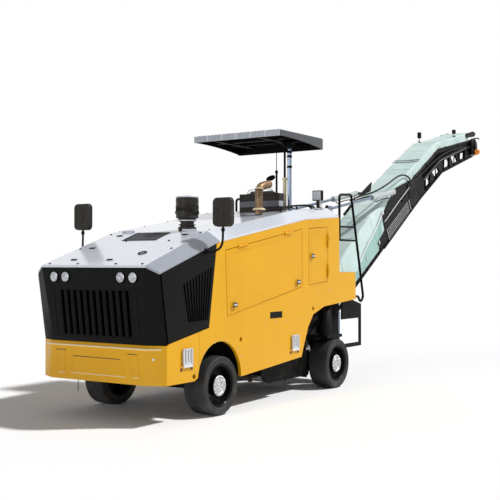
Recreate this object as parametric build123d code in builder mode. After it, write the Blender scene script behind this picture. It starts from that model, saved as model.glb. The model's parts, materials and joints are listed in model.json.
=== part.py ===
from build123d import *
import math
import os

os.makedirs("parts", exist_ok=True)

# A small rear-loading cold planer on four solid-rubber wheels, in millimetres.
# X is forward, Y is to the machine's left, Z is up, and the wheels stand on z = 0.

# Running gear
wheel_diameter = 660
wheel_width = 280
rim_diameter = 470
hub_diameter = 232
width_over_tyres = 1748
wheelbase = 2740
kingpin_from_middle = 460
steer_boss_radius = 55

# Body
body_width = 1740
panel_thickness = 40
panel_seam = 5
nose_reach = 1146
hood_front_height = 1666
hood_lip_half_width = 738
crease_height = 2048
crease_reach = 34
kink_reach = -1900
kink_height = 2374
deck_rear_reach = -2780
deck_rear_height = 2436
deck_top_half_width = 702
band_drop = 132
sheet_thickness = 25

# Bumper and grille
face_rake = 106
corner_rake = 83
bumper_proud = 26
bumper_flat_half_width = 666
bumper_bottom = 430
bumper_face_top = 810
bumper_top = 842
bow_rear_reach = 700
bumper_seam_reach = 400
ledge_thickness = 20
grille_foot_half_width = 660
grille_wall = 40
grille_slots = 11
grille_slot_width = 44
grille_slot_pitch = 92
lamp_diameter = 130
lamp_depth = 36
lamp_proud = 8
lamp_height = 1541
lashing_radius = 27

# Cutting drum
drum_reach = -1900
drum_height = 600
cutting_diameter = 980
pick_length = 90
cutting_width = 1000
housing_wall = 25
housing_clearance = 20
housing_top = 1150
housing_bottom = 280
drum_shaft_radius = 60
edge_plate_bottom = 180

# Conveyor, given by its underside from the tail to the discharge end
slew_reach = -3350
tilt_height = 741
conveyor_width = 540
frame_wall = 40
belt_thickness = 12
cover_thickness = 12
cheek_thickness = 25
cheek_gap = 20
mast_top = 2284

# Fits
running_fit = 0.3
hinge_fit = 0.3

grille_foot_reach = nose_reach - face_rake
grille_foot_corner_reach = grille_foot_reach - corner_rake
bumper_reach = grille_foot_reach + bumper_proud
bumper_corner_reach = grille_foot_corner_reach + 2
wheel_radius = wheel_diameter / 2
rim_radius = rim_diameter / 2
hub_radius = hub_diameter / 2
tyre_outer_y = width_over_tyres / 2
tyre_inner_y = tyre_outer_y - wheel_width
side_y = body_width / 2
inner_y = side_y - panel_thickness

# The underside of the conveyor frame: reach from the front axle, height,
# depth of the side frame and height of the cover's top, both square to the line.
conveyor_stations = [
    # reach, height, frame depth, cover top
    (-3105, 475, 200, 520),
    (-5400, 1868, 200, 690),
    (-6910, 2785, 415, 605),
    (-7980, 3360, 415, 575),
    (-9630, 3820, 300, 500),
]
stations_count = len(conveyor_stations)
belt_half_width = 205
# The belt's upper and lower face, counted down from the top of the side frame
belt_high_drop = 10
belt_low_drop = 180
belt_radius = (belt_low_drop - belt_high_drop) / 2


def unit(start, end):
    length = math.hypot(end[0] - start[0], end[1] - start[1])
    return ((end[0] - start[0]) / length, (end[1] - start[1]) / length)


def lifted(stations, heights):
    """The stations' line moved square to itself by a height at each station."""
    moved = []
    for index, (reach, height, *rest) in enumerate(stations):
        legs = []
        if index > 0:
            legs.append(unit(stations[index - 1][:2], (reach, height)))
        if index < len(stations) - 1:
            legs.append(unit((reach, height), stations[index + 1][:2]))
        along = unit((0, 0), (sum(leg[0] for leg in legs), sum(leg[1] for leg in legs)))
        offset = heights[index] / (along[0] * legs[0][0] + along[1] * legs[0][1])
        moved.append((reach + along[1] * offset, height - along[0] * offset))
    return moved


def raised(height):
    """The conveyor's line at one height over its underside."""
    return lifted(conveyor_stations, [height] * stations_count)


# The belt's round end is the rearmost point, and the origin lies midway to the nose
belt_middle_drop = (belt_high_drop + belt_low_drop) / 2
belt_middle_heights = [station[2] - belt_middle_drop for station in conveyor_stations]
rear_reach = lifted(conveyor_stations, belt_middle_heights)[-1][0] - belt_radius
front_x = -(nose_reach + rear_reach) / 2


def at(reach):
    """The X of a place so far ahead of the front axle."""
    return front_x + reach


def placed(points):
    return [(at(reach), height) for reach, height in points]


def side_plane(y):
    """The plane at this Y, whose sketches read X across and Z up, facing -Y."""
    return Plane.XZ.offset(-y)


def save(part, name):
    part.label = name
    export_step(part, f"parts/{name}.step")


def side_pair(outline, y_near, y_far, holes=()):
    """A plate in the XZ plane between two Ys, with the same plate mirrored."""
    with BuildPart() as plate:
        with BuildSketch(side_plane(y_far)):
            with BuildLine():
                Polyline(*outline, close=True)
            make_face()
            for hole in holes:
                with BuildLine():
                    Polyline(*hole, close=True)
                make_face(mode=Mode.SUBTRACT)
        extrude(amount=y_far - y_near)
        mirror(about=Plane.XZ)
    return plate.part


def slab(x_from, x_to, y_from, y_to, z_from, z_to, mode=Mode.ADD):
    """A box between limits, added to the part being built or cut from it."""
    with BuildSketch(Plane.XY.offset(z_from)) as base:
        with Locations(((x_from + x_to) / 2, (y_from + y_to) / 2)):
            Rectangle(abs(x_to - x_from), abs(y_to - y_from))
    extrude(base.sketch, amount=z_to - z_from, mode=mode)


def on_line(start, end, reach):
    """The height at this reach on the line through two (reach, height) points."""
    share = (reach - start[0]) / (end[0] - start[0])
    return start[1] + share * (end[1] - start[1])


def reach_at(start, end, height):
    """The reach at this height on the line through two (reach, height) points."""
    share = (height - start[1]) / (end[1] - start[1])
    return start[0] + share * (end[0] - start[0])


# Wheels: a solid rubber tyre on a dished rim with its hub
tyre_edge = 22
tyre_crown = 6
dish_depth = 95
dish_wall = 24
rim_wall = 26
hub_proud = 12
spindle_radius = 50


def tyre_at(x, side):
    y = side * (tyre_outer_y - wheel_width / 2)
    with BuildPart() as tyre:
        with BuildSketch(Plane.XZ.offset(-y - wheel_width / 2)):
            with Locations((x, wheel_radius)):
                Circle(wheel_radius)
                Circle(rim_radius + running_fit, mode=Mode.SUBTRACT)
        extrude(amount=wheel_width)
        outer = tyre.edges().filter_by(GeomType.CIRCLE).group_by(SortBy.RADIUS)[-1]
        chamfer(outer, tyre_edge, tyre_crown)
    return tyre.part


def rim_at(x, side):
    """The rim, its dished disc and the hub that stands proud in the middle."""
    outer = tyre_outer_y - 8
    with BuildPart() as rim:
        with BuildSketch(Plane.YZ.offset(x)):
            with BuildLine():
                Polyline(
                    (outer, wheel_radius + rim_radius),
                    (outer, wheel_radius + rim_radius - rim_wall),
                    (outer - dish_depth, wheel_radius + rim_radius - rim_wall),
                    (outer - dish_depth, wheel_radius + hub_radius),
                    (tyre_outer_y - hub_proud, wheel_radius + hub_radius),
                    (tyre_outer_y - hub_proud, wheel_radius),
                    (outer - dish_depth - dish_wall, wheel_radius),
                    (outer - dish_depth - dish_wall, wheel_radius + rim_radius - rim_wall),
                    (tyre_inner_y + 8, wheel_radius + rim_radius - rim_wall),
                    (tyre_inner_y + 8, wheel_radius + rim_radius),
                    close=True,
                )
            make_face()
        revolve(axis=Axis((x, 0, wheel_radius), (0, 1, 0)))
    if side < 0:
        return mirror(rim.part, about=Plane.XZ)
    return rim.part


axles = [("front", 0), ("rear", -wheelbase)]
for axle, reach in axles:
    for side_name, side in (("left", 1), ("right", -1)):
        save(tyre_at(at(reach), side), f"tyre_{axle}_{side_name}")
        save(rim_at(at(reach), side), f"rim_{axle}_{side_name}")

# The inboard face of a rim's disc, where a spindle ends
disc_back_y = tyre_outer_y - 8 - dish_depth - dish_wall

# Front axle beam with an eye at each end for the kingpin
beam_low = 275
beam_high = 385
beam_half_depth = 55
rail_inner_y = 300
rail_outer_y = 360
rail_low = 520
rail_high = 760
kingpin_radius = 30
axle_x = at(0)
with BuildPart() as front_axle:
    slab(axle_x - beam_half_depth, axle_x + beam_half_depth,
         -kingpin_from_middle, kingpin_from_middle, beam_low, beam_high)
    with BuildSketch(Plane.XY.offset(beam_low)):
        with Locations((axle_x, kingpin_from_middle), (axle_x, -kingpin_from_middle)):
            Circle(steer_boss_radius)
    extrude(amount=beam_high - beam_low)
    slab(axle_x - 150, axle_x + 150, -rail_outer_y, rail_outer_y, beam_high, rail_low)
    with BuildSketch(Plane.XY.offset(beam_low)):
        with Locations((axle_x, kingpin_from_middle), (axle_x, -kingpin_from_middle)):
            Circle(kingpin_radius + running_fit)
    extrude(amount=beam_high - beam_low, mode=Mode.SUBTRACT)
save(front_axle.part, "front_axle")

# Steering knuckles: two arms, the kingpin through the beam's eye, and the spindle
arm_thickness = 35
web_from_pin = 62
web_thickness = 28
for side_name, side in (("left", 1), ("right", -1)):
    pin_y = side * kingpin_from_middle
    web_y = side * (kingpin_from_middle + web_from_pin)
    web_out = side * (kingpin_from_middle + web_from_pin + web_thickness)
    with BuildPart() as knuckle:
        with BuildSketch(Plane.XY.offset(beam_high + running_fit)):
            with Locations((axle_x, pin_y)):
                Circle(steer_boss_radius)
            with Locations((axle_x, (pin_y + web_y) / 2)):
                Rectangle(2 * steer_boss_radius, web_from_pin)
        extrude(amount=arm_thickness)
        with BuildSketch(Plane.XY.offset(beam_low - running_fit - arm_thickness)):
            with Locations((axle_x, pin_y)):
                Circle(steer_boss_radius)
            with Locations((axle_x, (pin_y + web_y) / 2)):
                Rectangle(2 * steer_boss_radius, web_from_pin)
        extrude(amount=arm_thickness)
        with BuildSketch(Plane.XY.offset(beam_low - arm_thickness)):
            with Locations((axle_x, pin_y)):
                Circle(kingpin_radius)
        extrude(amount=beam_high - beam_low + 2 * arm_thickness)
        slab(axle_x - steer_boss_radius, axle_x + steer_boss_radius, web_y, web_out,
             beam_low - running_fit - arm_thickness, beam_high + running_fit + arm_thickness)
        with BuildSketch(Plane.XZ.offset(-web_out)):
            with Locations((axle_x, wheel_radius)):
                Circle(spindle_radius)
        extrude(amount=-side * (disc_back_y - running_fit - abs(web_out)))
    save(knuckle.part, f"knuckle_{side_name}")

# Main frame: rails, bulkheads and the rear subframe that carries the conveyor
rear_rail_inner_y = 560
rear_rail_outer_y = 640
rear_rail_low = 1190
rear_rail_high = 1330
bulkhead_reach = -1150
bulkhead_thickness = 50
rear_wall_reach = -2770
rear_wall_thickness = 40
subframe_inner_y = 560
subframe_outer_y = 600
subframe_front = -3080
subframe_rear = -3290
slew_plate_low = 300
slew_plate_high = 355
slew_pin_radius = 40
bracket_half_width = 110
bracket_thickness = 40
portal_setback = 136
portal_thickness = 30
rear_wall_top = 2230
pin_stub = 45
guard_y = 735
guard_thickness = 22
guard_front = -3080
guard_rear = -3670
guard_bar = 55
guard_low = 500
guard_box_low = 900
guard_box_high = 1100
guard_outline = [
    (guard_front, rear_rail_low), (guard_front, guard_box_low), (guard_rear + guard_bar, guard_box_low),
    (guard_rear + guard_bar, guard_low + guard_bar), (guard_front - 20, guard_low + guard_bar),
    (guard_front - 20, guard_low), (guard_rear, guard_low), (guard_rear, guard_box_high),
    (subframe_rear, rear_rail_low),
]
with BuildPart() as chassis:
    for side in (1, -1):
        slab(at(bulkhead_reach), at(bumper_reach - panel_thickness),
             side * rail_inner_y, side * rail_outer_y, rail_low, rail_high)
        slab(at(subframe_rear), at(bulkhead_reach),
             side * rear_rail_inner_y, side * rear_rail_outer_y, rear_rail_low, rear_rail_high)
        slab(at(subframe_rear), at(subframe_front),
             side * subframe_inner_y, side * subframe_outer_y, slew_plate_low, rear_rail_high)
        slab(at(subframe_rear), at(guard_front), side * rear_rail_inner_y,
             side * (guard_y + guard_thickness), rear_rail_low, rear_rail_low + 30)
    slab(at(bulkhead_reach), at(bulkhead_reach) + bulkhead_thickness,
         -inner_y, inner_y, rail_low, rear_rail_high)
    slab(at(rear_wall_reach), at(rear_wall_reach) + rear_wall_thickness,
         -inner_y, inner_y, rear_rail_low, rear_wall_top)
    portal_x = at(bumper_reach - portal_setback)
    slab(portal_x - portal_thickness, portal_x, -rail_outer_y, rail_outer_y,
         rail_high, bumper_face_top - ledge_thickness)
    slab(at(slew_reach) - 110, at(subframe_front), -subframe_outer_y, subframe_outer_y,
         slew_plate_low, slew_plate_high)
    slab(at(slew_reach) - 90, at(rear_wall_reach), -bracket_half_width, bracket_half_width,
         mast_top + running_fit, mast_top + running_fit + bracket_thickness)
    slab(at(rear_wall_reach), at(rear_wall_reach) + rear_wall_thickness,
         -bracket_half_width, bracket_half_width, rear_wall_top - 30,
         mast_top + running_fit + bracket_thickness)
    add(side_pair(placed(guard_outline), guard_y, guard_y + guard_thickness))
    for low, high in ((slew_plate_high, slew_plate_high + pin_stub), (mast_top - pin_stub, mast_top + 1)):
        with BuildSketch(Plane.XY.offset(low)):
            with Locations((at(slew_reach), 0)):
                Circle(slew_pin_radius)
        extrude(amount=high - low)
save(chassis.part, "chassis_frame")

# Engine and cooler, closed inside the body
engine_front = 380
engine_rear = -1050
engine_half_width = 330
engine_top = 1640
with BuildPart() as engine:
    slab(at(engine_rear), at(engine_front), -engine_half_width, engine_half_width, rail_high, engine_top)
save(engine.part, "engine_block")

cooler_rear = 600
cooler_front = 780
cooler_half_width = 640
cooler_top = 1560
with BuildPart() as cooler:
    slab(at(cooler_rear), at(cooler_front), -cooler_half_width, cooler_half_width, rail_high, cooler_top)
save(cooler.part, "cooler")

# Rear legs: a lifting column and a bracket that reaches round each rear wheel
leg_reach = -2620
leg_y = 735
leg_radius = 92
leg_top = rear_rail_high
bracket_low = wheel_diameter + 15
bracket_high = bracket_low + 40
leg_plate_inner = 500
leg_plate_outer = 545
with BuildPart() as legs:
    with BuildSketch(Plane.XY.offset(bracket_high)):
        with Locations((at(leg_reach), leg_y)):
            Circle(leg_radius)
    extrude(amount=leg_top - bracket_high)
    slab(at(-wheelbase) - 210, at(leg_reach) + leg_radius, leg_plate_inner, leg_y + leg_radius,
         bracket_low, bracket_high)
    slab(at(-wheelbase) - 110, at(-wheelbase) + 110, leg_plate_inner, leg_plate_outer, 220, bracket_low)
    with BuildSketch(side_plane(leg_plate_outer)):
        with Locations((at(-wheelbase), wheel_radius)):
            Circle(spindle_radius)
    extrude(amount=-(disc_back_y - running_fit - leg_plate_outer))
    slab(at(leg_reach) - leg_radius, at(leg_reach) + leg_radius, rear_rail_outer_y, leg_y,
         rear_rail_low, rear_rail_high)
    mirror(about=Plane.XZ)
save(legs.part, "rear_legs")

# Drum housing: an open-bottomed box with shaft holes and a rear discharge mouth
housing_half_length = cutting_diameter / 2 + housing_clearance + housing_wall + 10
housing_half_width = cutting_width / 2 + housing_clearance + housing_wall
mouth_half_width = 250
mouth_low = 360
mouth_high = 760
with BuildPart() as housing:
    slab(at(drum_reach) - housing_half_length, at(drum_reach) + housing_half_length,
         -housing_half_width, housing_half_width, housing_bottom, housing_top)
    with BuildSketch(Plane.XY.offset(housing_bottom)):
        with Locations((at(drum_reach), 0)):
            Rectangle(2 * (housing_half_length - housing_wall), 2 * (housing_half_width - housing_wall))
    extrude(amount=housing_top - housing_wall - housing_bottom, mode=Mode.SUBTRACT)
    with BuildSketch(Plane.YZ.offset(at(drum_reach) - housing_half_length)):
        with Locations((0, (mouth_low + mouth_high) / 2)):
            Rectangle(2 * mouth_half_width, mouth_high - mouth_low)
    extrude(amount=housing_wall, mode=Mode.SUBTRACT)
    with BuildSketch(side_plane(housing_half_width)):
        with Locations((at(drum_reach), drum_height)):
            Circle(drum_shaft_radius + running_fit)
    extrude(amount=2 * housing_half_width, mode=Mode.SUBTRACT)
    slab(at(drum_reach) - 300, at(drum_reach) + 300, -housing_half_width, housing_half_width,
         housing_top, rear_rail_low)
    slab(at(drum_reach) - 300, at(drum_reach) + 300, -rear_rail_outer_y, rear_rail_outer_y,
         rear_rail_low - 20, rear_rail_low)
save(housing.part, "drum_housing")

# Milling drum with its picks in two helices that meet in the middle
drum_core_radius = cutting_diameter / 2 - pick_length
pick_rows = 13
picks_per_row = 4
pick_block = 46
pick_foot = 80
row_turn = 27
with BuildPart() as drum:
    with BuildSketch(side_plane(cutting_width / 2)):
        with Locations((at(drum_reach), drum_height)):
            Circle(drum_core_radius)
    extrude(amount=cutting_width)
    with BuildSketch(side_plane(housing_half_width)):
        with Locations((at(drum_reach), drum_height)):
            Circle(drum_shaft_radius)
    extrude(amount=2 * housing_half_width)
    row_pitch = (cutting_width - pick_block) / (pick_rows - 1)
    for row in range(pick_rows):
        row_y = -cutting_width / 2 + pick_block / 2 + row * row_pitch
        turn = row_turn * abs(row - (pick_rows - 1) / 2)
        with BuildSketch(side_plane(row_y + pick_block / 2)):
            with Locations((at(drum_reach), drum_height)):
                with PolarLocations(drum_core_radius + pick_length / 2 - 5, picks_per_row, turn):
                    Trapezoid(pick_foot, pick_length + 10, 75, rotation=-90)
        extrude(amount=pick_block)
save(drum.part, "milling_drum")

# Edge plates beside the drum, joined by the scraper behind it
edge_plate_thickness = 28
edge_plate = [
    (drum_reach + 610, 284),
    (drum_reach + 456, edge_plate_bottom),
    (drum_reach - 560, edge_plate_bottom),
    (drum_reach - 600, 300),
    (drum_reach - 600, 520),
    (drum_reach + 610, 520),
]
scraper_low = 150
scraper_thickness = 30
with BuildPart() as drum_guards:
    add(side_pair(placed(edge_plate), housing_half_width, housing_half_width + edge_plate_thickness))
    slab(at(drum_reach) - housing_half_length - scraper_thickness, at(drum_reach) - housing_half_length,
         -housing_half_width - 1, housing_half_width + 1, scraper_low, mouth_low)
save(drum_guards.part, "drum_guards")

# Chute from the drum housing's mouth up to the conveyor's tail
chute_rear = -2850
chute_rear_low = 900
chute_rear_high = 1160
chute_wall = 20
chute_floor = 28
mouth_x = at(drum_reach) - housing_half_length
with BuildPart() as chute:
    with BuildSketch(side_plane(mouth_half_width)):
        with BuildLine():
            Polyline((mouth_x, mouth_low), (mouth_x, mouth_high), (at(chute_rear), chute_rear_high),
                     (at(chute_rear), chute_rear_low), close=True)
        make_face()
    extrude(amount=2 * mouth_half_width)
    with BuildSketch(side_plane(mouth_half_width - chute_wall)):
        with BuildLine():
            Polyline((mouth_x, mouth_low + chute_floor), (mouth_x, mouth_high - chute_floor),
                     (at(chute_rear), chute_rear_high - chute_floor),
                     (at(chute_rear), chute_rear_low + chute_floor), close=True)
        make_face()
    extrude(amount=2 * (mouth_half_width - chute_wall), mode=Mode.SUBTRACT)
save(chute.part, "transfer_chute")

# Step lugs: two ears for a folding step's hinge pin, on each side of the body
step_width = 160
step_height = 185
step_thickness = 12
step_low = 605
step_places = [("front", 630), ("rear", -1590)]
step_hinge_radius = 14
step_hinge_y = side_y + step_hinge_radius + 2
step_pin_radius = 8
step_lug = 16


def step_lugs(reach):
    with BuildPart() as lugs:
        for lug_x in (at(reach) - step_width / 2 - step_lug, at(reach) + step_width / 2 + hinge_fit):
            with BuildSketch(Plane.YZ.offset(lug_x)):
                with Locations((side_y + step_hinge_radius, step_low)):
                    Rectangle(2 * step_hinge_radius + 4, 2 * step_hinge_radius)
                with Locations((step_hinge_y, step_low)):
                    Circle(step_pin_radius + hinge_fit, mode=Mode.SUBTRACT)
            extrude(amount=step_lug - hinge_fit)
        mirror(about=Plane.XZ)
    return lugs.part


# Bumper: a yellow bow in plan, with sides that rise to the black panels and end at the arch
louvre_front_low = (971, 848)
louvre_rear_low = (228, 983)
louvre_front_inset = grille_wall / 2 + 2
ledge_depth = 170
grille_seam = 2
arch_reach = 18
arch_height = 409
arch_radius = 414
front_lashing = (496, 482)
bumper_side = [
    (bumper_seam_reach, on_line(louvre_front_low, louvre_rear_low, bumper_seam_reach)),
    (grille_foot_corner_reach - louvre_front_inset,
     on_line(louvre_front_low, louvre_rear_low, grille_foot_corner_reach - louvre_front_inset)),
    (grille_foot_corner_reach - louvre_front_inset, bumper_bottom),
    (arch_reach + arch_radius + 60, bumper_bottom),
    (arch_reach + arch_radius, bumper_bottom + 30),
    (bumper_seam_reach, bumper_bottom + 30),
]


def bow(front, corner, inset, rear):
    """Half of the bumper's plan, from its rear end forward to the middle."""
    return [
        (at(rear), side_y - inset),
        (at(corner) - inset / 2, side_y - inset),
        (at(front) - inset, bumper_flat_half_width - inset / 3),
    ]


with BuildPart() as bumper:
    with BuildSketch(Plane.XY.offset(bumper_bottom)):
        outer = bow(bumper_reach, bumper_corner_reach, 0, bow_rear_reach)
        inner = bow(bumper_reach, bumper_corner_reach, panel_thickness, bow_rear_reach)
        with BuildLine():
            Polyline(*outer, *[(x, -y) for x, y in outer[::-1]],
                     *[(x, -y) for x, y in inner], *inner[::-1], close=True)
        make_face()
    extrude(amount=bumper_face_top - bumper_bottom)
    ledge_rear = bumper_corner_reach - ledge_depth
    shelf = bow(bumper_reach, bumper_corner_reach, 0, ledge_rear)
    brow = bow(grille_foot_reach + grille_seam, grille_foot_corner_reach + grille_seam, 0, ledge_rear)
    with BuildSketch(Plane.XY.offset(bumper_face_top - ledge_thickness)):
        with BuildLine():
            Polyline(*shelf, *[(x, -y) for x, y in shelf[::-1]], close=True)
        make_face()
    extrude(amount=ledge_thickness)
    for outline, height in ((shelf, bumper_face_top), (brow, bumper_top)):
        with BuildSketch(Plane.XY.offset(height)):
            with BuildLine():
                Polyline(*outline, *[(x, -y) for x, y in outline[::-1]], close=True)
            make_face()
    loft(ruled=True)
    for far in (side_y, -inner_y):
        with BuildSketch(side_plane(far)):
            with BuildLine():
                Polyline(*placed(bumper_side), close=True)
            make_face()
        extrude(amount=panel_thickness)
    with BuildSketch(side_plane(side_y)):
        with Locations((at(arch_reach), arch_height)):
            Circle(arch_radius)
        with Locations((at(front_lashing[0]), front_lashing[1])):
            Circle(lashing_radius)
    extrude(amount=2 * side_y, mode=Mode.SUBTRACT)
    add(step_lugs(step_places[0][1]))
save(bumper.part, "bumper")

# The sloping top: hood ahead of the crease, deck behind it, with a band down each side
band_half_width = side_y - 5
hood_front_drop = 92


def top_height(reach):
    """The height of the top's middle at this reach."""
    if reach > crease_reach:
        return on_line((nose_reach, hood_front_height), (crease_reach, crease_height), reach)
    if reach > kink_reach:
        return on_line((crease_reach, crease_height), (kink_reach, kink_height), reach)
    return on_line((kink_reach, kink_height), (deck_rear_reach, deck_rear_height), reach)


def band_height(reach):
    """The height of the band's lower edge, where it stands over the side panels."""
    if reach > crease_reach:
        front = hood_front_height - hood_front_drop - sheet_thickness
        rear = crease_height - band_drop
        return on_line((nose_reach, front), (crease_reach, rear), reach)
    return top_height(reach) - band_drop


def top_half_width(reach):
    if reach > crease_reach:
        return on_line((nose_reach, hood_lip_half_width), (crease_reach, deck_top_half_width), reach)
    return deck_top_half_width


def top_sheet(reaches):
    """The folded sheet of the top through these reaches, front one first."""
    with BuildPart() as sheet:
        for front, rear in zip(reaches, reaches[1:]):
            for reach in (front, rear):
                low = band_height(reach)
                high = top_height(reach)
                half = top_half_width(reach)
                with BuildSketch(Plane.YZ.offset(at(reach))):
                    with BuildLine():
                        Polyline(
                            (-band_half_width, low),
                            (-band_half_width, low + sheet_thickness),
                            (-half, high),
                            (half, high),
                            (band_half_width, low + sheet_thickness),
                            (band_half_width, low),
                            (half, high - sheet_thickness),
                            (-half, high - sheet_thickness),
                            close=True,
                        )
                    make_face()
            loft(ruled=True)
    return sheet.part


def above_sheet(reaches, clear):
    """Everything over the sheet's underside lowered by a clearance, to cut with."""
    wide = side_y + 60
    ceiling = deck_rear_height + 200
    with BuildPart() as block:
        for front, rear in zip(reaches, reaches[1:]):
            for reach in (front, rear):
                low = band_height(reach) - clear
                half = top_half_width(reach)
                high = top_height(reach) - sheet_thickness - clear
                with BuildSketch(Plane.YZ.offset(at(reach))):
                    with BuildLine():
                        Polyline((-wide, low), (-band_half_width, low), (-half, high), (half, high),
                                 (band_half_width, low), (wide, low), (wide, ceiling),
                                 (-wide, ceiling), close=True)
                    make_face()
            loft(ruled=True)
    return block.part


hood_corner_setback = 73
hood_corner_reach = nose_reach - hood_corner_setback
hood_hinge_y = 450
hood_hinge_radius = 12
hinge_length = 90
crease_z = crease_height + hood_hinge_radius + 2
corner_slope = (nose_reach - hood_corner_reach) / (side_y - hood_lip_half_width)
past_side = 60
with BuildPart() as hood:
    add(top_sheet([nose_reach, crease_reach + panel_seam]))
    with BuildSketch(Plane.XY.offset(bumper_top)):
        with BuildLine():
            Polyline(
                (at(nose_reach), hood_lip_half_width),
                (at(nose_reach) + past_side, hood_lip_half_width),
                (at(nose_reach) + past_side, side_y + past_side),
                (at(hood_corner_reach) - corner_slope * past_side, side_y + past_side),
                close=True,
            )
        make_face()
        mirror(about=Plane.XZ)
    extrude(amount=crease_height - bumper_top, mode=Mode.SUBTRACT)
    for y in (hood_hinge_y, -hood_hinge_y):
        with BuildSketch(side_plane(y + hinge_length)):
            with Locations((at(crease_reach), crease_z)):
                Circle(hood_hinge_radius)
        extrude(amount=hinge_length)
        slab(at(crease_reach), at(crease_reach) + 45, y, y + hinge_length,
             crease_height - 30, crease_height + 4)
save(hood.part, "hood")

cockpit_front = -1990
cockpit_rear = -2730
cockpit_half_width = 620
deck_ceiling = 4500
floor_height = 1700
deck_line = [(nose_reach, hood_front_height), (crease_reach, crease_height), (kink_reach, kink_height),
             (deck_rear_reach, deck_rear_height)]
with BuildPart() as over_deck:
    with BuildSketch(side_plane(side_y)):
        with BuildLine():
            Polyline(*placed(deck_line), (at(deck_rear_reach), deck_ceiling),
                     (at(nose_reach), deck_ceiling), close=True)
        make_face()
    extrude(amount=2 * side_y)
with BuildPart() as deck:
    add(top_sheet([crease_reach, kink_reach, deck_rear_reach]))
    slab(at(cockpit_rear), at(cockpit_front), -cockpit_half_width, cockpit_half_width,
         floor_height, deck_ceiling, mode=Mode.SUBTRACT)
    for y in (hood_hinge_y, -hood_hinge_y):
        with BuildSketch(side_plane(y - hinge_fit)):
            with Locations((at(crease_reach), crease_z)):
                Circle(hood_hinge_radius)
        extrude(amount=hinge_length)
        slab(at(crease_reach) - 45, at(crease_reach), y - hinge_length - hinge_fit, y - hinge_fit,
             crease_height - 15, crease_height + 6)
save(deck.part, "top_deck")

# Black front: a leaning face between two corner facets, with upright slots
face_lean = (nose_reach - grille_foot_reach) / (hood_front_height - bumper_top)
hood_corner_height = 1575
corner_lean = (hood_corner_reach - grille_foot_corner_reach) / (hood_corner_height - bumper_top)
grille_high = hood_front_height + 60
slot_low = 920
slot_high = 1400

# Lamps: round, let into the face's upper band
lamp_places = [-560, -392, 392, 560]
lamp_face_x = at(grille_foot_reach) + face_lean * (lamp_height - bumper_top)
lamp_seat_x = lamp_face_x + lamp_proud - lamp_depth
lamp_centres = [(y, lamp_height) for y in lamp_places]


def face_outline(height, inset):
    """The plan of the black front at this height, as a bow of even thickness."""
    rise = height - bumper_top
    face = at(grille_foot_reach) + face_lean * rise
    corner = at(grille_foot_corner_reach) + corner_lean * rise
    half = grille_foot_half_width + (hood_lip_half_width - grille_foot_half_width) * rise / (
        hood_front_height - bumper_top)
    outer = [(corner, side_y), (face, half), (face, -half), (corner, -side_y)]
    inner = [(corner - inset / 2, -side_y + inset), (face - inset, -half + inset / 3),
             (face - inset, half - inset / 3), (corner - inset / 2, side_y - inset)]
    return outer + inner


with BuildPart() as grille:
    for height in (bumper_top, grille_high):
        with BuildSketch(Plane.XY.offset(height)):
            with BuildLine():
                Polyline(*face_outline(height, grille_wall), close=True)
            make_face()
    loft(ruled=True)
    with BuildSketch(Plane.YZ.offset(at(grille_foot_reach) - 2 * grille_wall)):
        with Locations((0, (slot_low + slot_high) / 2)):
            with GridLocations(grille_slot_pitch, 1, grille_slots, 1):
                Rectangle(grille_slot_width, slot_high - slot_low)
    extrude(amount=nose_reach - grille_foot_reach + 4 * grille_wall, mode=Mode.SUBTRACT)
    add(above_sheet([nose_reach + past_side, crease_reach], panel_seam), mode=Mode.SUBTRACT)
    with BuildSketch(Plane.YZ.offset(lamp_seat_x - running_fit)):
        with Locations(*lamp_centres):
            Circle(lamp_diameter / 2 + running_fit)
    extrude(amount=2 * lamp_depth, mode=Mode.SUBTRACT)
save(grille.part, "front_grille")

with BuildPart() as lamps:
    with BuildSketch(Plane.YZ.offset(lamp_seat_x)):
        with Locations(*lamp_centres):
            Circle(lamp_diameter / 2)
    extrude(amount=lamp_depth)
save(lamps.part, "lamps")

# Black side panels with raked louvre slots
louvre_foot = on_line(louvre_front_low, louvre_rear_low, grille_foot_corner_reach - louvre_front_inset) + 1
louvre_head = band_height(hood_corner_reach - louvre_front_inset) - panel_seam
boundary_low = louvre_rear_low
boundary_high = (85, band_height(85) - panel_seam)
louvre_panel = [
    *[(at(grille_foot_corner_reach - louvre_front_inset) + corner_lean * (height - bumper_top), height)
      for height in (louvre_foot, louvre_head)],
    (at(boundary_high[0]), boundary_high[1]),
    (at(boundary_low[0]), boundary_low[1] + 1),
]
louvre_count = 10
louvre_under_band = 230
louvre_first = [(690, band_height(690) - louvre_under_band), (600, 1060)]
louvre_last = [(200, band_height(200) - louvre_under_band), (280, 1070)]
louvre_width = 26
louvre_slots = []
for slot in range(louvre_count):
    share = slot / (louvre_count - 1)
    high = [a + (b - a) * share for a, b in zip(louvre_first[0], louvre_last[0])]
    low = [a + (b - a) * share for a, b in zip(louvre_first[1], louvre_last[1])]
    louvre_slots.append([
        (at(high[0]), high[1]), (at(high[0]) - louvre_width, high[1] + 6),
        (at(low[0]) - louvre_width, low[1] + 6), (at(low[0]), low[1]),
    ])
save(side_pair(louvre_panel, inner_y, side_y, louvre_slots), "louvre_panels")

# Yellow side panels with a wheel arch, two door openings and lashing holes
belly_front = (-432, 395)
belly_rear = (-1772, 500)
rear_arch = [(-1808, 589), (-1939, 865), (-2072, 1022), (-2362, 1113)]
tail_low = (-3283, 1181)
tail_high = (-3264, 1560)
step_corner = (-2798, 1560)
body_rear = (-2783, band_height(-2783) - running_fit)
boundary_gap = 3
engine_under_band = 103
tank_under_band = 115
engine_door = [(-83, band_height(-83) - engine_under_band), (-126, 1096), (-1788, 1389),
               (-1781, band_height(-1781) - engine_under_band)]
tank_door = [(-1957, band_height(-1957) - tank_under_band), (-1959, 1407), (-2453, 1445),
             (-2449, band_height(-2449) - tank_under_band)]
side_lashings = [(-393, 818), (-2065, 1100)]


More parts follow.
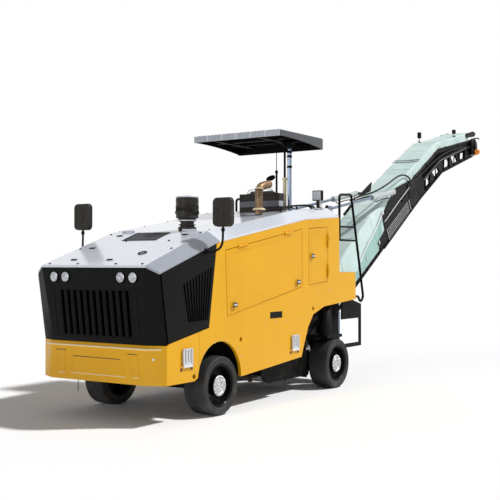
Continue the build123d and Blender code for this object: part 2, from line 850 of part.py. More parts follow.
def shrunk(points, inset):
    """An outline drawn in toward its middle by an inset along X and along Z."""
    middle_x = sum(x for x, z in points) / len(points)
    middle_z = sum(z for x, z in points) / len(points)
    return [
        (x - inset * math.copysign(1, x - middle_x), z - inset * math.copysign(1, z - middle_z))
        for x, z in points
    ]


side_front = bumper_seam_reach - running_fit
side_outline = [
    (side_front, belly_front[1]),
    (side_front, on_line(louvre_front_low, louvre_rear_low, side_front)),
    louvre_rear_low,
    (boundary_low[0] - boundary_gap, boundary_low[1]),
    (boundary_high[0] - boundary_gap, boundary_high[1]),
    (crease_reach, band_height(crease_reach) - running_fit),
    (kink_reach, band_height(kink_reach) - running_fit),
    body_rear,
    step_corner,
    tail_high,
    tail_low,
    *reversed(rear_arch),
    belly_rear,
    belly_front,
]

door_hinge_y = side_y + hood_hinge_radius + hinge_fit
lug_thickness = 6
lug_width = 42


def hinge_half(start, along, leaf_side, y_side):
    """A hinge barrel from a start point, with its leaf flat on the outer face."""
    end = (start[0] + along[0] * hinge_length, start[1] + along[1] * hinge_length)
    square = (-along[1] * leaf_side, along[0] * leaf_side)
    corners = [start, end,
               (end[0] + square[0] * lug_width, end[1] + square[1] * lug_width),
               (start[0] + square[0] * lug_width, start[1] + square[1] * lug_width)]
    origin = (start[0], y_side * door_hinge_y, start[1])
    with BuildPart() as half:
        with BuildSketch(Plane(origin, z_dir=(along[0], 0, along[1]))):
            Circle(hood_hinge_radius)
        extrude(amount=hinge_length)
        near = side_y if y_side > 0 else -side_y - lug_thickness
        with BuildSketch(side_plane(near + lug_thickness)):
            with BuildLine():
                Polyline(*corners, close=True)
            make_face()
        extrude(amount=lug_thickness)
    return half.part


def hinge_starts(edge, shares):
    """Places along an edge where a hinge's two barrels meet."""
    (x0, z0), (x1, z1) = edge
    return [(x0 + (x1 - x0) * share, z0 + (z1 - z0) * share) for share in shares]


# Each door: name, outline, hinge edge, side of the edge the door lies on, hinges' shares of it
doors = [
    ("engine_door", placed(engine_door), placed([engine_door[0], engine_door[-1]]), 1, (0.2, 0.8)),
    ("tank_door", placed(tank_door), placed(tank_door[-2:]), -1, (0.2, 0.75)),
]
side_names = (("left", 1), ("right", -1))
opening_gap = panel_seam / 2
# A door is a skin with a narrower box behind it, which clears the frame as it swings
door_skin = 5
door_return = 14

with BuildPart() as side_panels:
    for side_name, side in side_names:
        with BuildSketch(side_plane(side_y if side > 0 else -inner_y)):
            with BuildLine():
                Polyline(*placed(side_outline), close=True)
            make_face()
            with Locations((at(arch_reach), arch_height)):
                Circle(arch_radius, mode=Mode.SUBTRACT)
            with Locations(*placed(side_lashings)):
                Circle(lashing_radius, mode=Mode.SUBTRACT)
            for name, outline, edge, leaf, shares in doors:
                with BuildLine():
                    Polyline(*shrunk(outline, -opening_gap), close=True)
                make_face(mode=Mode.SUBTRACT)
        extrude(amount=panel_thickness)
        for name, outline, edge, leaf, shares in doors:
            along = unit(*edge)
            for place in hinge_starts(edge, shares):
                start = (place[0] - along[0] * (hinge_length + hinge_fit),
                         place[1] - along[1] * (hinge_length + hinge_fit))
                add(hinge_half(start, along, -leaf, side))
    add(step_lugs(step_places[1][1]))
save(side_panels.part, "side_panels")

for name, outline, edge, leaf, shares in doors:
    with BuildPart() as door:
        for inset, depth in ((0, door_skin), (door_return, panel_thickness)):
            with BuildSketch(side_plane(side_y)):
                with BuildLine():
                    Polyline(*shrunk(outline, opening_gap + inset), close=True)
                make_face()
            extrude(amount=depth)
        for place in hinge_starts(edge, shares):
            add(hinge_half(place, unit(*edge), leaf, 1))
    save(door.part, f"{name}_left")
    save(mirror(door.part, about=Plane.XZ), f"{name}_right")

# Folding steps, each between two lugs on the side
for axle, reach in step_places:
    with BuildPart() as step:
        with BuildSketch(side_plane(step_hinge_y + step_thickness / 2)):
            with Locations((at(reach), step_low + step_height / 2)):
                Rectangle(step_width, step_height)
        extrude(amount=step_thickness)
        with BuildSketch(Plane.YZ.offset(at(reach) - step_width / 2)):
            with Locations((step_hinge_y, step_low)):
                Circle(step_hinge_radius)
        extrude(amount=step_width)
        with BuildSketch(Plane.YZ.offset(at(reach) - step_width / 2 - step_lug)):
            with Locations((step_hinge_y, step_low)):
                Circle(step_pin_radius)
        extrude(amount=step_width + 2 * step_lug)
    save(step.part, f"step_{axle}_left")
    save(mirror(step.part, about=Plane.XZ), f"step_{axle}_right")

# Operator's platform behind the engine, with its webs and the rear foot boards
floor_thickness = 30
floor_gap = 2
web_inner = 560
web_outer = 590
cockpit_wall = 30
footboard_height = 1560
footboard_inner = 500
seat_reach = -2340
seat_y = -190
seat_rise = 440
seat_height = floor_height + seat_rise
seat_cushion = 110
pedestal_radius = 70
post_reach = -2300
# Each post: y, tube radius, top of the tube, rod radius
posts = [(375, 34, 2420, 28), (300, 22, 2830, 15), (170, 11, 2930, 5)]
with BuildPart() as platform:
    slab(at(rear_wall_reach) + rear_wall_thickness, at(cockpit_front) + cockpit_wall,
         -inner_y + floor_gap, inner_y - floor_gap, floor_height - floor_thickness, floor_height)
    slab(at(cockpit_front), at(cockpit_front) + cockpit_wall, -cockpit_half_width, cockpit_half_width,
         floor_height, top_height(cockpit_front + cockpit_wall) - sheet_thickness - 2)
    for side in (1, -1):
        slab(at(rear_wall_reach) + rear_wall_thickness, at(cockpit_front), side * web_inner, side * web_outer,
             rear_rail_high, floor_height - floor_thickness)
        slab(at(subframe_rear) + 15, at(rear_wall_reach), side * footboard_inner, side * (inner_y - floor_gap),
             footboard_height - floor_thickness, footboard_height)
        slab(at(subframe_rear) + 15, at(rear_wall_reach), side * web_inner, side * web_outer,
             rear_rail_high, footboard_height - floor_thickness)
    with BuildSketch(Plane.XY.offset(floor_height)):
        with Locations((at(seat_reach), seat_y)):
            Circle(pedestal_radius)
    extrude(amount=seat_height - seat_cushion - floor_height)
    for y, tube_radius, tube_top, rod_radius in posts:
        with BuildSketch(Plane.XY.offset(floor_height)):
            with Locations((at(post_reach), y)):
                Circle(tube_radius)
                Circle(rod_radius + running_fit, mode=Mode.SUBTRACT)
        extrude(amount=tube_top - floor_height)
save(platform.part, "operator_platform")

# Console in front of the operator, seated on the sloping deck
console_front = -1800
console_rear = -1930
console_right = -101
console_left = 512
console_rise = 238
console_top = top_height(console_front) + console_rise
with BuildPart() as console:
    with BuildSketch(side_plane(console_left)):
        with BuildLine():
            Polyline(
                (at(console_front), top_height(console_front)),
                (at(kink_reach), top_height(kink_reach)),
                (at(console_rear), top_height(console_rear)),
                (at(console_rear), console_top),
                (at(console_front), console_top),
                close=True,
            )
        make_face()
    extrude(amount=console_left - console_right)
save(console.part, "console")

# Seat: cushion and back on the pedestal
seat_width = 440
seat_depth = 400
seat_back_top = 2730
seat_back_thickness = 100
with BuildPart() as seat:
    slab(at(seat_reach) - seat_depth / 2, at(seat_reach) + seat_depth / 2, seat_y - seat_width / 2,
         seat_y + seat_width / 2, seat_height - seat_cushion, seat_height)
    slab(at(seat_reach) - seat_depth / 2, at(seat_reach) - seat_depth / 2 + seat_back_thickness,
         seat_y - seat_width / 2, seat_y + seat_width / 2, seat_height, seat_back_top)
save(seat.part, "seat")

# Control panel on its stalk at the left of the cockpit
panel_reach = -2670
panel_y = 603
panel_rise = 177
panel_middle = top_height(panel_reach) + panel_rise
panel_size = 140
panel_box_depth = 60
stalk_radius = 22
with BuildPart() as control_panel:
    with BuildSketch(Plane.XY.offset(top_height(panel_reach) - stalk_radius)):
        with Locations((at(panel_reach), panel_y)):
            Circle(stalk_radius)
    extrude(amount=panel_middle - top_height(panel_reach))
    slab(at(panel_reach) - panel_box_depth / 2, at(panel_reach) + panel_box_depth / 2,
         panel_y - panel_size / 2, panel_y + panel_size / 2, panel_middle - panel_size / 2,
         panel_middle + panel_size / 2)
    add(over_deck.part, mode=Mode.INTERSECT)
save(control_panel.part, "control_panel")

# Canopy: a roof whose rods slide down into the platform's tubes
canopy_front = -1570
canopy_rear = -2675
canopy_half_width = 680
canopy_low = 3230
canopy_front_low = 3300
canopy_arch_high = 3288
canopy_high = 3375
canopy_wall = 20
canopy_flange = 14
canopy_horn = 60
canopy_drop = 400
rod_spare = 40

with BuildPart() as canopy:
    slab(at(canopy_rear), at(canopy_front), -canopy_half_width, canopy_half_width, canopy_low, canopy_high)
    slab(at(canopy_rear) + canopy_flange, at(canopy_front) - canopy_flange,
         -canopy_half_width + canopy_flange, canopy_half_width - canopy_flange,
         canopy_low, canopy_high - canopy_wall, mode=Mode.SUBTRACT)
    # The side flanges arch up from a horn at each rear corner to the shallow front flange
    arch_start = (at(canopy_rear) + canopy_horn, canopy_low + 8)
    notch = (arch_start[0] - 18, canopy_low - 1)
    arch_middle = ((arch_start[0] + at(canopy_front)) / 2, canopy_arch_high)
    arch_end = (at(canopy_front) + 1, canopy_front_low)
    with BuildSketch(side_plane(canopy_half_width)):
        with BuildLine():
            ThreePointArc(arch_start, arch_middle, arch_end)
            Polyline(arch_end, (arch_end[0], canopy_low - 1), notch, arch_start)
        make_face()
    extrude(amount=2 * canopy_half_width, mode=Mode.SUBTRACT)
    for y, tube_radius, tube_top, rod_radius in posts:
        rod_low = max(tube_top - canopy_drop - rod_spare, floor_height + canopy_drop + rod_spare)
        with BuildSketch(Plane.XY.offset(rod_low)):
            with Locations((at(post_reach), y)):
                Circle(rod_radius)
        extrude(amount=canopy_high - canopy_wall - rod_low)
save(canopy.part, "canopy")

# Air pre-cleaner and exhaust pipe, standing on the deck
cleaner_reach = -90
cleaner_y = 330
# Rings of the pre-cleaner from its foot: radius, rise of the ring's top over the deck
cleaner_rings = [(105, 36), (78, 91), (95, 131), (132, 146), (132, 366), (120, 381)]
with BuildPart() as cleaner:
    deck_height = top_height(cleaner_reach)
    foot = -14
    for radius, rise in cleaner_rings:
        with BuildSketch(Plane.XY.offset(deck_height + foot)):
            with Locations((at(cleaner_reach), cleaner_y)):
                Circle(radius)
        extrude(amount=rise - foot)
        foot = rise
    add(over_deck.part, mode=Mode.INTERSECT)
save(cleaner.part, "air_precleaner")

exhaust_reach = -1440
exhaust_y = 440
exhaust_radius = 50
exhaust_bend_rise = 355
exhaust_mouth_rise = 405
exhaust_mouth_setback = 235
exhaust_foot = top_height(exhaust_reach)
with BuildPart() as exhaust:
    with BuildLine() as exhaust_line:
        FilletPolyline(
            (at(exhaust_reach), exhaust_y, exhaust_foot + 12),
            (at(exhaust_reach), exhaust_y, exhaust_foot + exhaust_bend_rise),
            (at(exhaust_reach) - exhaust_mouth_setback, exhaust_y, exhaust_foot + exhaust_mouth_rise),
            radius=110,
        )
    with BuildSketch(Plane(exhaust_line.line @ 0, z_dir=exhaust_line.line % 0)):
        Circle(exhaust_radius)
        Circle(exhaust_radius - 6, mode=Mode.SUBTRACT)
    sweep()
    with BuildSketch(Plane.XY.offset(exhaust_foot - 20)):
        with Locations((at(exhaust_reach), exhaust_y)):
            Circle(exhaust_radius + 30)
    extrude(amount=32)
    add(over_deck.part, mode=Mode.INTERSECT)
save(exhaust.part, "exhaust_pipe")

# Mirrors outboard of the body on bent arms
mirror_reach = 190
mirror_y = 1030
mirror_foot_reach = 270
mirror_under_band = 26
mirror_foot = (mirror_foot_reach, band_height(mirror_foot_reach) - mirror_under_band)
mirror_low = mirror_foot[1] + 273
mirror_tall = 315
mirror_high = mirror_low + mirror_tall
mirror_width = 250
mirror_depth = 60
arm_radius = 13
with BuildPart() as mirrors:
    with BuildLine() as arm_line:
        FilletPolyline(
            (at(mirror_foot[0]), side_y + running_fit, mirror_foot[1]),
            (at(mirror_foot[0]), side_y + 60, mirror_foot[1]),
            (at(mirror_reach) - 20, mirror_y, mirror_foot[1] + 55),
            (at(mirror_reach), mirror_y, mirror_low + 60),
            radius=28,
        )
    with BuildSketch(Plane(arm_line.line @ 0, z_dir=arm_line.line % 0)):
        Circle(arm_radius)
    sweep()
    slab(at(mirror_reach) - mirror_depth / 2, at(mirror_reach) + mirror_depth / 2,
         mirror_y - mirror_width / 2, mirror_y + mirror_width / 2, mirror_low, mirror_high)
    mirror(about=Plane.XZ)
save(mirrors.part, "mirrors")

# Handrails at the rear corners
rail_tube_radius = 17
rail_y = (inner_y + side_y) / 2
bar_height = 2000
rail_front = -2830
rail_top = 2620
foot_height = 1215
# Reaches of the body's rear edges where the rail's ends meet them
foot_end = reach_at(tail_low, tail_high, foot_height - rail_tube_radius)
bar_end = reach_at(step_corner, body_rear, bar_height - rail_tube_radius)
with BuildPart() as handrails:
    with BuildLine() as loop:
        FilletPolyline(
            (at(rail_front), rail_y, bar_height),
            (at(rail_front), rail_y, rail_top),
            (at(-3175), rail_y, rail_top + 20),
            (at(-3545), rail_y, 1210),
            (at(-3470), rail_y, 1120),
            (at(-3385), rail_y, foot_height),
            (at(foot_end) - running_fit, rail_y, foot_height),
            radius=50,
        )
    with BuildSketch(Plane(loop.line @ 0, z_dir=loop.line % 0)):
        Circle(rail_tube_radius)
    sweep()
    for bar_from, height, bar_to in ((bar_end - running_fit, bar_height, -3338), (rail_front, 2185, -3290)):
        with BuildSketch(Plane.YZ.offset(at(bar_to))):
            with Locations((rail_y, height)):
                Circle(rail_tube_radius - 3)
        extrude(amount=bar_from - bar_to)
    mirror(about=Plane.XZ)
save(handrails.part, "handrails")

# Conveyor carrier: slewing base plate, two cheeks and the cross-beam at the mast's head
carrier_y = conveyor_width / 2 + cheek_gap
cheek_half = 95
base_half = 150
base_low = slew_plate_high + running_fit
base_high = base_low + 30
beam_low_z = mast_top - 80
slew_x = at(slew_reach)
tilt_pin_radius = 35
ram_pin_radius = 20
cheek_outer_y = carrier_y + cheek_thickness
ram_y = cheek_outer_y + 30
eye_half_thickness = 14
mast_pin = (-3500, 2475)
mast_arm = [
    (-3255, 2284), (-3255, 2060), (-3445, 2060), (-3545, 2430), (-3550, 2500), (-3470, 2530), (-3400, 2450),
]
mast_boss_radius = 30
mast_boss = ram_y - eye_half_thickness - running_fit - cheek_outer_y
with BuildPart() as carrier:
    for side in (1, -1):
        slab(slew_x - cheek_half, slew_x + cheek_half, side * carrier_y, side * cheek_outer_y,
             base_low, mast_top)
    slab(slew_x - base_half, slew_x + base_half, -cheek_outer_y, cheek_outer_y, base_low, base_high)
    slab(slew_x - cheek_half, slew_x + cheek_half, -carrier_y, carrier_y, beam_low_z, mast_top)
    for low, high in ((base_low, base_high), (beam_low_z, mast_top)):
        with BuildSketch(Plane.XY.offset(low)):
            with Locations((slew_x, 0)):
                Circle(slew_pin_radius + running_fit)
        extrude(amount=high - low, mode=Mode.SUBTRACT)
    with BuildSketch(side_plane(cheek_outer_y)):
        with Locations((slew_x, tilt_height)):
            Circle(tilt_pin_radius + running_fit)
    extrude(amount=2 * cheek_outer_y, mode=Mode.SUBTRACT)
    add(side_pair(placed(mast_arm), carrier_y, cheek_outer_y))
    for far in (cheek_outer_y + mast_boss, -cheek_outer_y):
        with BuildSketch(side_plane(far)):
            with Locations((at(mast_pin[0]), mast_pin[1])):
                Circle(mast_boss_radius)
        extrude(amount=mast_boss)
save(carrier.part, "conveyor_carrier")


frame_y = conveyor_width / 2
frame_depths = [station[2] for station in conveyor_stations]
cover_tops = [station[3] for station in conveyor_stations]


def under_frame_top(drop):
    """The conveyor's line so far below the top of its side frames."""
    return placed(lifted(conveyor_stations, [depth - drop for depth in frame_depths]))


def boom_point(line, stretch, share):
    """The place at a share of the way along one stretch of a line."""
    (x0, z0), (x1, z1) = line[stretch], line[stretch + 1]
    return (x0 + (x1 - x0) * share, z0 + (z1 - z0) * share)


def boom_patch(low, high, stretch, start, end, lean=0.0):
    """Four corners between two lines of the boom, with its high side shifted along."""
    return [boom_point(low, stretch, start), boom_point(low, stretch, end),
            boom_point(high, stretch, end + lean), boom_point(high, stretch, start + lean)]


low_line = placed(raised(0))
frame_line = under_frame_top(0)
cover_line = placed(lifted(conveyor_stations, cover_tops))
middle_line = under_frame_top(belt_middle_drop)

gusset_pin = (-5700, 2860)
gusset_thickness = 14
gusset = [
    (-5540, 2193), (-5463, 2395), (-5433, 2465), (-5909, 2933), (-6512, 3106), (-6571, 3071), (-6650, 2978),
]
cross_tube_radius = 30
# Cross tubes: index of the stretch between stations, share along it
cross_tubes = [(0, 0.05), (0, 0.5), (0, 0.95), (1, 0.5), (1, 0.97), (2, 0.5), (3, 0.1), (3, 0.5), (3, 0.85)]
# Long slots in the side frames' lower panel, by their height over the underside
panel_slots = [40, 76, 112, 148, 184]
panel_slot_height = 16
panel_slot_shares = (0.25, 0.72)
# Openings of the upper boom's lattice: stretch, shares where each starts and ends, lean of its posts
lattice_low = 55
lattice_high = 215
lattice = [
    (2, 0.28, 0.50, 0.08), (2, 0.72, 0.94, -0.08), (3, 0.06, 0.24, 0.05), (3, 0.37, 0.52, -0.05),
    (3, 0.58, 0.72, 0.05),
]
# Recess that makes a channel of each lower side frame
channel_lip = 20
channel_depth = 18
channel_shares = (0.16, 0.98)
ram_pin_end = ram_y + eye_half_thickness + 4

with BuildPart() as conveyor_frame:
    slots = []
    for height in panel_slots:
        low, high = placed(raised(height)), placed(raised(height + panel_slot_height))
        slots.append(boom_patch(low, high, 1, *panel_slot_shares))
    low, high = placed(raised(lattice_low)), placed(raised(lattice_high))
    slots += [boom_patch(low, high, *place) for place in lattice]
    add(side_pair(low_line + frame_line[::-1], frame_y - frame_wall, frame_y, slots))
    channel = boom_patch(placed(raised(channel_lip)), under_frame_top(channel_lip), 0, *channel_shares)
    add(side_pair(channel, frame_y - channel_depth, frame_y), mode=Mode.SUBTRACT)
    add(side_pair(placed(gusset), frame_y - gusset_thickness, frame_y))
    for stretch, share in cross_tubes:
        with BuildSketch(side_plane(frame_y - frame_wall / 2)):
            with Locations(boom_point(middle_line, stretch, share)):
                Circle(cross_tube_radius)
        extrude(amount=2 * frame_y - frame_wall)
    for far in (cheek_outer_y, -frame_y + frame_wall / 2):
        with BuildSketch(side_plane(far)):
            with Locations((slew_x, tilt_height)):
                Circle(tilt_pin_radius)
        extrude(amount=cheek_outer_y - frame_y + frame_wall / 2)
    for far in (ram_pin_end, -frame_y + gusset_thickness / 2):
        with BuildSketch(side_plane(far)):
            with Locations(*placed([gusset_pin])):
                Circle(ram_pin_radius)
        extrude(amount=ram_pin_end - frame_y + gusset_thickness / 2)
save(conveyor_frame.part, "conveyor_frame")

# Belt: one closed loop round the tail and head drums
with BuildPart() as belt:
    with BuildSketch(side_plane(belt_half_width)):
        for inset, mode in ((0, Mode.ADD), (belt_thickness, Mode.SUBTRACT)):
            low = under_frame_top(belt_low_drop - inset)
            high = under_frame_top(belt_high_drop + inset)
            tail = unit(middle_line[1], middle_line[0])
            head = unit(middle_line[-2], middle_line[-1])
            reach = belt_radius - inset
            tail_end = (middle_line[0][0] + tail[0] * reach, middle_line[0][1] + tail[1] * reach)
            head_end = (middle_line[-1][0] + head[0] * reach, middle_line[-1][1] + head[1] * reach)
            with BuildLine():
                Polyline(*low)
                ThreePointArc(low[-1], head_end, high[-1])
                Polyline(*high[::-1])
                ThreePointArc(high[0], tail_end, low[0])
            make_face(mode=mode)
    extrude(amount=2 * belt_half_width)
save(belt.part, "conveyor_belt")

# Tail and head drums, with shafts that run into the side frames
roller_radius = belt_radius - belt_thickness - running_fit
shaft_radius = 25
with BuildPart() as rollers:
    for x, z in (middle_line[0], middle_line[-1]):
        with BuildSketch(side_plane(belt_half_width)):
            with Locations((x, z)):
                Circle(roller_radius)
        extrude(amount=2 * belt_half_width)
        with BuildSketch(side_plane(frame_y - frame_wall)):
            with Locations((x, z)):
                Circle(shaft_radius)
        extrude(amount=2 * (frame_y - frame_wall))
    add(conveyor_frame.part, mode=Mode.SUBTRACT)
save(rollers.part, "conveyor_rollers")

# Fabric cover over the belt: two walls and a top, standing on the side frames
cover_wall_y = frame_y - gusset_thickness - running_fit
cover_start = 0.26


def cut_line(line):
    """The line without its first stretch, ahead of where the cover starts."""
    (x0, z0), (x1, z1) = line[0], line[1]
    return [(x0 + (x1 - x0) * cover_start, z0 + (z1 - z0) * cover_start)] + line[1:]


def run_on(line):
    """The line with its last stretch carried on past its end."""
    ahead = unit(line[-2], line[-1])
    return line + [(line[-1][0] + ahead[0] * end_spare, line[-1][1] + ahead[1] * end_spare)]


end_spare = 60
seat_line = cut_line(under_frame_top(-running_fit))
roof_line = cut_line(cover_line)
hollow_low = run_on(under_frame_top(cover_thickness))
hollow_high = run_on(placed(lifted(conveyor_stations, [top - cover_thickness for top in cover_tops])))
with BuildPart() as cover:
    with BuildSketch(side_plane(cover_wall_y)):
        with BuildLine():
            Polyline(*(seat_line + roof_line[::-1]), close=True)
        make_face()
    extrude(amount=2 * cover_wall_y)
    with BuildSketch(side_plane(cover_wall_y - cover_thickness)):
        with BuildLine():
            Polyline(*(hollow_low + hollow_high[::-1]), close=True)
        make_face()
    extrude(amount=2 * (cover_wall_y - cover_thickness), mode=Mode.SUBTRACT)
save(cover.part, "conveyor_cover")

# Lift cylinders: a barrel pinned to each gusset and a rod whose eye stands at the mast's pin
barrel_radius = 42
rod_radius = 22
eye_radius = 45
ram_direction = unit(gusset_pin, mast_pin)
ram_length = math.dist(gusset_pin, mast_pin)
barrel_length = 850
rod_start = 400
ram_start = placed([gusset_pin])[0]


def along_ram(distance):
    return (ram_start[0] + ram_direction[0] * distance, ram_start[1] + ram_direction[1] * distance)


def ram_tube(y, start, end, radius, hole=0):
    origin = along_ram(start)
    with BuildPart() as tube:
        with BuildSketch(Plane((origin[0], y, origin[1]), z_dir=(ram_direction[0], 0, ram_direction[1]))):
            Circle(radius)
            if hole:
                Circle(hole, mode=Mode.SUBTRACT)
        extrude(amount=end - start)
    return tube.part


with BuildPart() as barrels:
    add(ram_tube(ram_y, 30, barrel_length, barrel_radius, rod_radius + running_fit))
    with BuildSketch(side_plane(ram_y + eye_half_thickness)):
        with Locations(along_ram(0)):
            Circle(eye_radius)
    extrude(amount=2 * eye_half_thickness)
    with BuildSketch(side_plane(ram_y + eye_half_thickness)):
        with Locations(along_ram(0)):
            Circle(ram_pin_radius + running_fit)
    extrude(amount=2 * eye_half_thickness, mode=Mode.SUBTRACT)
    mirror(about=Plane.XZ)
save(barrels.part, "lift_cylinder_barrels")

with BuildPart() as rods:
    add(ram_tube(ram_y, rod_start, ram_length - eye_radius + 6, rod_radius))
    with BuildSketch(side_plane(ram_y + eye_half_thickness)):
        with Locations(along_ram(ram_length)):
            Circle(eye_radius)
    extrude(amount=2 * eye_half_thickness)
    mirror(about=Plane.XZ)
save(rods.part, "lift_cylinder_rods")
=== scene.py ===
# %% [markdown]
# # A cold planer milling machine
# The machine grinds the top off a road. A drum set with steel picks turns under its belly, and a belt carries
# the millings up and away behind it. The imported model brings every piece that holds, turns or slides. This
# lesson dresses it: bent sheet gets its round edges, rubber its rings, and the conveyor its fabric.

# %% The frame, an empty scene and the values that everything is measured from
import json
import math

import bmesh
import bpy
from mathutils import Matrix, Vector, noise
from mathutils.bvhtree import BVHTree

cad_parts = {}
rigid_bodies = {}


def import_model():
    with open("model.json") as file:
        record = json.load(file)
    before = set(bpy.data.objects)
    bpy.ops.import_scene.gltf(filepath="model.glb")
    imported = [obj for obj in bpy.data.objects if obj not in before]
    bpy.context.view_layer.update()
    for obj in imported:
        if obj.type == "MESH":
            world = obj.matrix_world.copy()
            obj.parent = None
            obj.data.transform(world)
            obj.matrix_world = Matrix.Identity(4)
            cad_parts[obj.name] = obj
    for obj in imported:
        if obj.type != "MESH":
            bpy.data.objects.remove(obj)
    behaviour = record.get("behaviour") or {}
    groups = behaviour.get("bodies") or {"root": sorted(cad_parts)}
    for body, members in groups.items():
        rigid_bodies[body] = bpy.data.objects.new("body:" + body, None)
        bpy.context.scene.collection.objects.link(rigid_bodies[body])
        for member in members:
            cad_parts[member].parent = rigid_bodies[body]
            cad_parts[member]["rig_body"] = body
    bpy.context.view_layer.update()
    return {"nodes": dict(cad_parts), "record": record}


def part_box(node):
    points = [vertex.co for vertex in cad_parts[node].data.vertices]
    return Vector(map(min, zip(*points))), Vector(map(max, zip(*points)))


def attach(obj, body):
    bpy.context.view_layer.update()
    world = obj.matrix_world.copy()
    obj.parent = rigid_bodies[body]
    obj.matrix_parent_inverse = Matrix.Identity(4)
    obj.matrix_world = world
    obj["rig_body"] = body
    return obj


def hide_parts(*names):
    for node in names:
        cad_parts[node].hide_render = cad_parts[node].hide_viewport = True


for startup_object in list(bpy.data.objects):
    bpy.data.objects.remove(startup_object)
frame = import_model()

tyre_low, tyre_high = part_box("tyre_front_left")
FRONT_AXLE_X = (tyre_low.x + tyre_high.x) / 2
WHEEL_RADIUS = (tyre_high.z - tyre_low.z) / 2
SIDE_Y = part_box("side_panels")[1].y - 0.032
SIDES = (("left", 1), ("right", -1))


def at(reach):
    """The X of a place so far ahead of the front axle, in metres."""
    return FRONT_AXLE_X + reach


print(len(frame["nodes"]), "pieces came with the frame; the front axle lies at", round(FRONT_AXLE_X, 4))

# %% [markdown]
# ## The camera
# The picture was taken from about eye height, ahead of the machine and to its left, with a longish lens. A
# camera is a place, a direction and a lens, so those three are all that this cell holds. It comes first because
# every later choice is judged through it.

# %% Camera at the photograph's place
CAMERA_PLACE = Vector((at(8.439), 6.814, 1.702))
CAMERA_YAW = math.radians(33.382)
CAMERA_PITCH = math.radians(0.73)
FOCAL_PIXELS = 930.5
FRAME_PIXELS = 500

camera_data = bpy.data.cameras.new("camera")
camera_data.sensor_width = 36
camera_data.lens = camera_data.sensor_width * FOCAL_PIXELS / FRAME_PIXELS
camera = bpy.data.objects.new("camera", camera_data)
bpy.context.scene.collection.objects.link(camera)
camera.location = CAMERA_PLACE
look = Vector((-math.cos(CAMERA_YAW) * math.cos(CAMERA_PITCH),
               -math.sin(CAMERA_YAW) * math.cos(CAMERA_PITCH), math.sin(CAMERA_PITCH)))
camera.rotation_mode = "QUATERNION"
camera.rotation_quaternion = look.to_track_quat("-Z", "Y")
bpy.context.scene.camera = camera
print("lens", round(camera_data.lens, 1), "mm")

# %% [markdown]
# ## Shader maths
# A finish is mostly arithmetic on patterns: so much dust here, so much gloss there. Wiring Math nodes by hand
# hides that, so one small class lets a socket be added and multiplied like a number, and one method makes any
# other node.

# %% A socket that can be calculated with, and a finish that is built from such sockets
class Value:
    """A shader socket or a number that takes part in sums."""

    def __init__(self, finish, socket):
        self.finish = finish
        self.socket = socket

    def math(self, operation, other, swapped=False):
        sides = (other, self) if swapped else (self, other)
        return self.finish.node("Math", {"operation": operation}, {0: sides[0], 1: sides[1]})

    def __add__(self, other):
        return self.math("ADD", other)

    def __radd__(self, other):
        return self.math("ADD", other, swapped=True)

    def __sub__(self, other):
        return self.math("SUBTRACT", other)

    def __rsub__(self, other):
        return self.math("SUBTRACT", other, swapped=True)

    def __mul__(self, other):
        return self.math("MULTIPLY", other)

    def __rmul__(self, other):
        return self.math("MULTIPLY", other, swapped=True)

    def __truediv__(self, other):
        return self.math("DIVIDE", other)

    def __pow__(self, other):
        return self.math("POWER", other)

    def limited(self):
        return self.finish.node("Clamp", {}, {"Value": self})


class Finish:
    """A material whose nodes are written as expressions."""

    def __init__(self, name, **constants):
        self.material = bpy.data.materials.new(name)
        self.material.use_nodes = True
        self.tree = self.material.node_tree
        self.shader = self.tree.nodes["Principled BSDF"]
        for socket, value in constants.items():
            self.shader.inputs[socket.replace("_", " ")].default_value = value

    def put(self, socket, value):
        if isinstance(value, Value):
            self.tree.links.new(value.socket, socket)
        else:
            socket.default_value = value

    def node(self, kind, settings=None, inputs=None, output=0):
        """Any node: its settings first, then its inputs, and the output that is wanted."""
        made = self.tree.nodes.new("ShaderNode" + kind)
        for key, value in (settings or {}).items():
            if key == "stops":
                ramp = made.color_ramp
                while len(ramp.elements) < len(value):
                    ramp.elements.new(0.5)
                for element, (place, colour) in zip(ramp.elements, value):
                    element.position = place
                    element.color = colour
            else:
                setattr(made, key, value)
        for key, value in (inputs or {}).items():
            self.put(made.inputs[key], value)
        return Value(self, made.outputs[output])

    def place(self, kind="Object"):
        return self.node("TexCoord", {}, {}, kind)

    def axis(self, letter):
        """One coordinate of the place on the piece."""
        return self.node("SeparateXYZ", {}, {0: self.place()}, letter)

    def noise(self, scale, detail=4.0, rough=0.55, stretch=(1, 1, 1), kind="Fac"):
        """Cloudy noise from 0 to 1 with so many clumps to the metre."""
        where = self.node("Mapping", {}, {"Vector": self.place(), "Scale": stretch})
        return self.node("TexNoise", {}, {"Vector": where, "Scale": scale, "Detail": detail,
                                          "Roughness": rough}, kind)

    def between(self, value, low, high):
        """0 below low, 1 above high, and smooth between."""
        return self.node("MapRange", {"interpolation_type": "SMOOTHSTEP"},
                         {"Value": value, "From Min": low, "From Max": high})

    def mix(self, share, first, second):
        """A colour between two others."""
        return self.node("Mix", {"data_type": "RGBA"}, {"Factor": share, 6: first, 7: second}, 2)

    def bump(self, height, strength, distance=0.001):
        return self.node("Bump", {}, {"Strength": strength, "Distance": distance, "Height": height})

    def use(self, **values):
        for socket, value in values.items():
            self.put(self.shader.inputs[socket.replace("_", " ")], value)
        return self.material


def rgb(red, green, blue):
    """A colour given as a screen shows it, from 0 to 255, as the shader wants it."""
    def linear(channel):
        share = channel / 255
        return share / 12.92 if share <= 0.04045 else ((share + 0.055) / 1.055) ** 2.4
    return (linear(red), linear(green), linear(blue), 1.0)


print("shader helpers ready")

# %% [markdown]
# ## Painted sheet
# Road machines wear a thick gloss coat over primer. Close up it has the faint ripple that painters call orange
# peel, it dulls where dust lies, and it is a shade darker low down, where the wheels throw dirt. One function
# makes every paint of the machine, so that the colours differ and the way they age doesn't.

# %% Paints
DUST = rgb(168, 158, 142)


